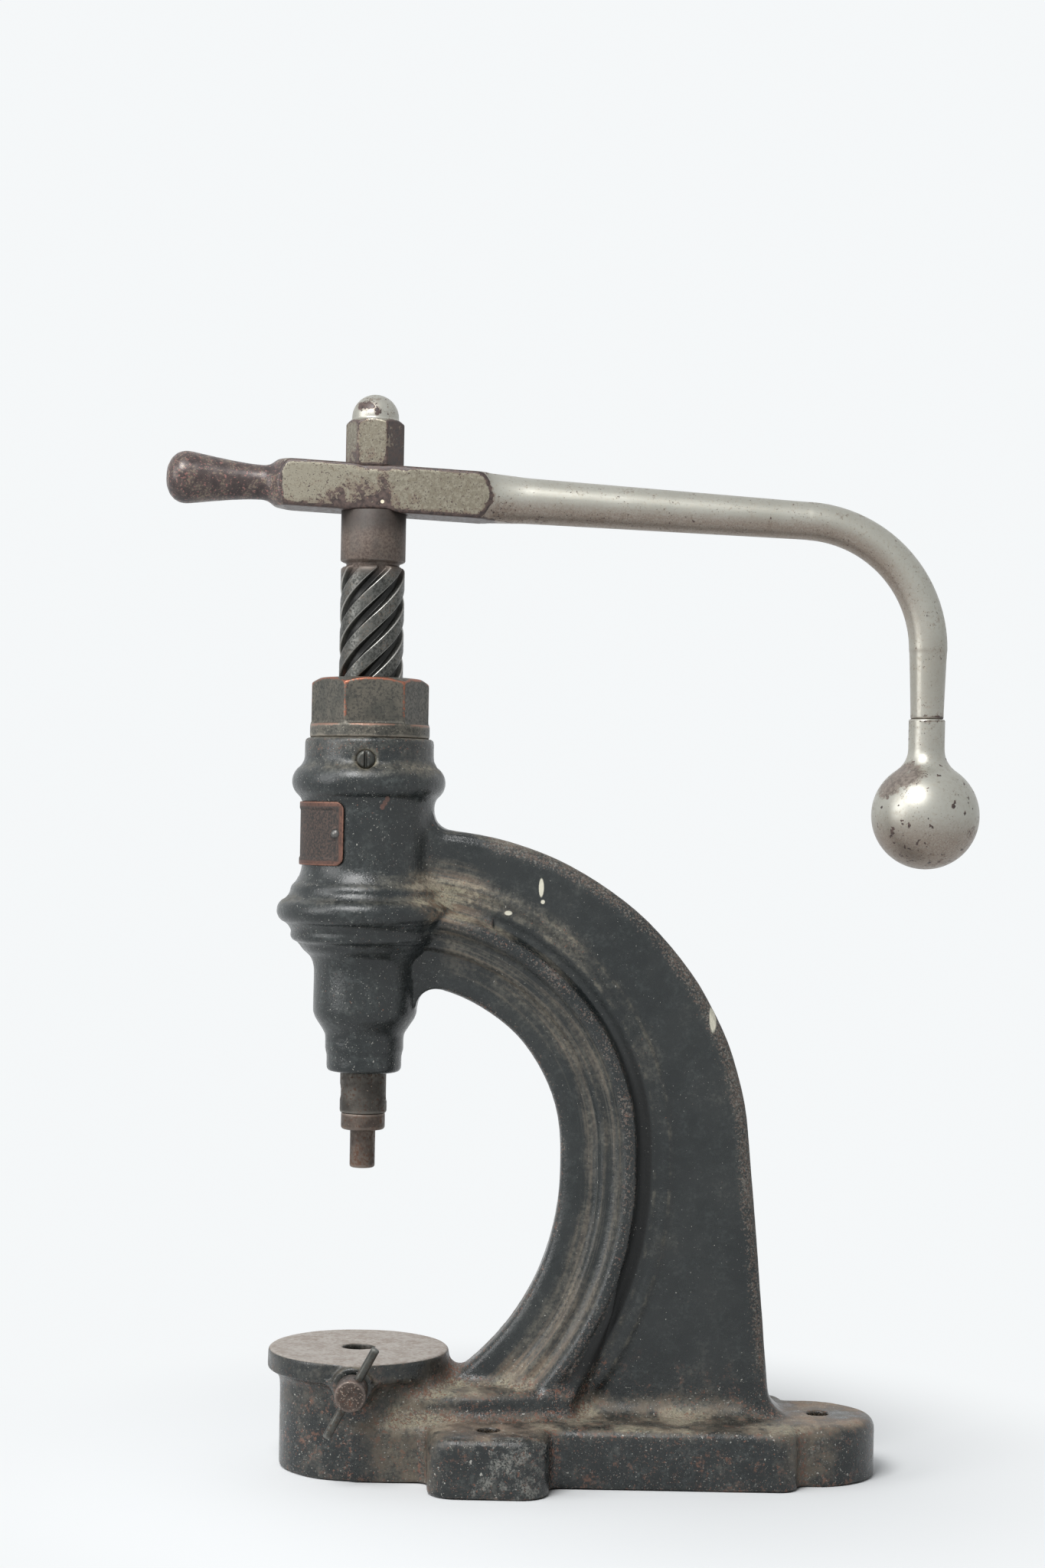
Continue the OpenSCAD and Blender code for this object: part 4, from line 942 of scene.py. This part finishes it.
def seen_directly(g):
    """1 for rays from the camera, from gloss and through glass, and 0 for the light on a surface."""
    seen = g.node("ShaderNodeLightPath").outputs
    return g.most(seen["Is Camera Ray"], seen["Is Glossy Ray"], seen["Is Transmission Ray"])


def pale_floor():
    """White ground that keeps the shadow round the object, and reads as plain white further out."""
    g = Graph(bpy.data.materials.new("pale_floor"))
    far = g.math("SUBTRACT", 1.0, g.near((90, 0, 0), 130, 190))
    diffuse = g.node("ShaderNodeBsdfDiffuse", {"Color": (0.780, 0.795, 0.805)})
    white = g.node("ShaderNodeEmission", {"Color": BACKDROP, "Strength": 1.0})
    share = g.times(seen_directly(g), far)
    shader = g.node("ShaderNodeMixShader", {0: share, 1: diffuse.outputs[0], 2: white.outputs[0]})
    g.node("ShaderNodeOutputMaterial", {0: shader.outputs[0]})
    return g.owner


def lamp(name, size, power, place, target):
    light = bpy.data.lights.new(name, "AREA")
    light.shape = "RECTANGLE"
    light.size, light.size_y = size
    light.energy = power
    holder = bpy.data.objects.new(name, light)
    holder.location = place
    holder.rotation_euler = (Vector(target) - Vector(place)).to_track_quat("-Z", "Y").to_euler()
    bpy.context.scene.collection.objects.link(holder)


def studio_world():
    """White where it is seen; its light is weaker from the front and from the right."""
    world = bpy.data.worlds.new("studio")
    bpy.context.scene.world = world
    g = Graph(world, "Generated")
    depth = g.span(g.axis(1), -0.75, 0.35, 0.20, 0.78)
    side = g.span(g.axis(0), -0.3, 0.8, 1.0, 0.45)
    strength = g.between(seen_directly(g), g.times(depth, side), 1.0)
    shade = g.node("ShaderNodeBackground", {"Color": BACKDROP, "Strength": strength})
    g.node("ShaderNodeOutputWorld", {"Surface": shade.outputs[0]})


FLOOR_HALF = 6.0
FLOOR_Z = -0.0003
corners = ((-1, -1), (1, -1), (1, 1), (-1, 1))
floor_mesh = bpy.data.meshes.new("floor")
floor_points = [(sx * FLOOR_HALF, sy * FLOOR_HALF, FLOOR_Z) for sx, sy in corners]
floor_mesh.from_pydata(floor_points, [], [(0, 1, 2, 3)])
floor = link("floor", floor_mesh)
dress(floor, pale_floor())

studio_world()
AIM = (0.09, 0.0, 0.26)
lamp("key_softbox", (0.75, 0.75), 25.0, (-0.40, -0.98, 1.46), AIM)
lamp("left_softbox", (0.9, 1.3), 13.0, (-1.45, -0.75, 0.80), AIM)

# Camera fitted to the photograph: level, its horizon a little below the middle, rolled by about a degree
PHOTO_H = 2048
FOCAL_PX = 3530
HORIZON_BELOW_PX = 36
SENSOR_HEIGHT = 36.0
CAMERA_PLACE = (0.0722, -1.267, 0.3064)
CAMERA_ROLL = math.radians(1.04)
view = bpy.data.cameras.new("photo_camera")
view.sensor_fit = "VERTICAL"
view.sensor_height = SENSOR_HEIGHT
view.lens = SENSOR_HEIGHT * FOCAL_PX / PHOTO_H
view.shift_y = HORIZON_BELOW_PX / PHOTO_H
camera = bpy.data.objects.new("photo_camera", view)
camera.matrix_world = (Matrix.Translation(CAMERA_PLACE) @ Matrix.Rotation(math.radians(90), 4, "X")
                       @ Matrix.Rotation(CAMERA_ROLL, 4, "Z"))
bpy.context.scene.collection.objects.link(camera)
bpy.context.scene.camera = camera
bpy.context.scene.view_settings.view_transform = "Standard"
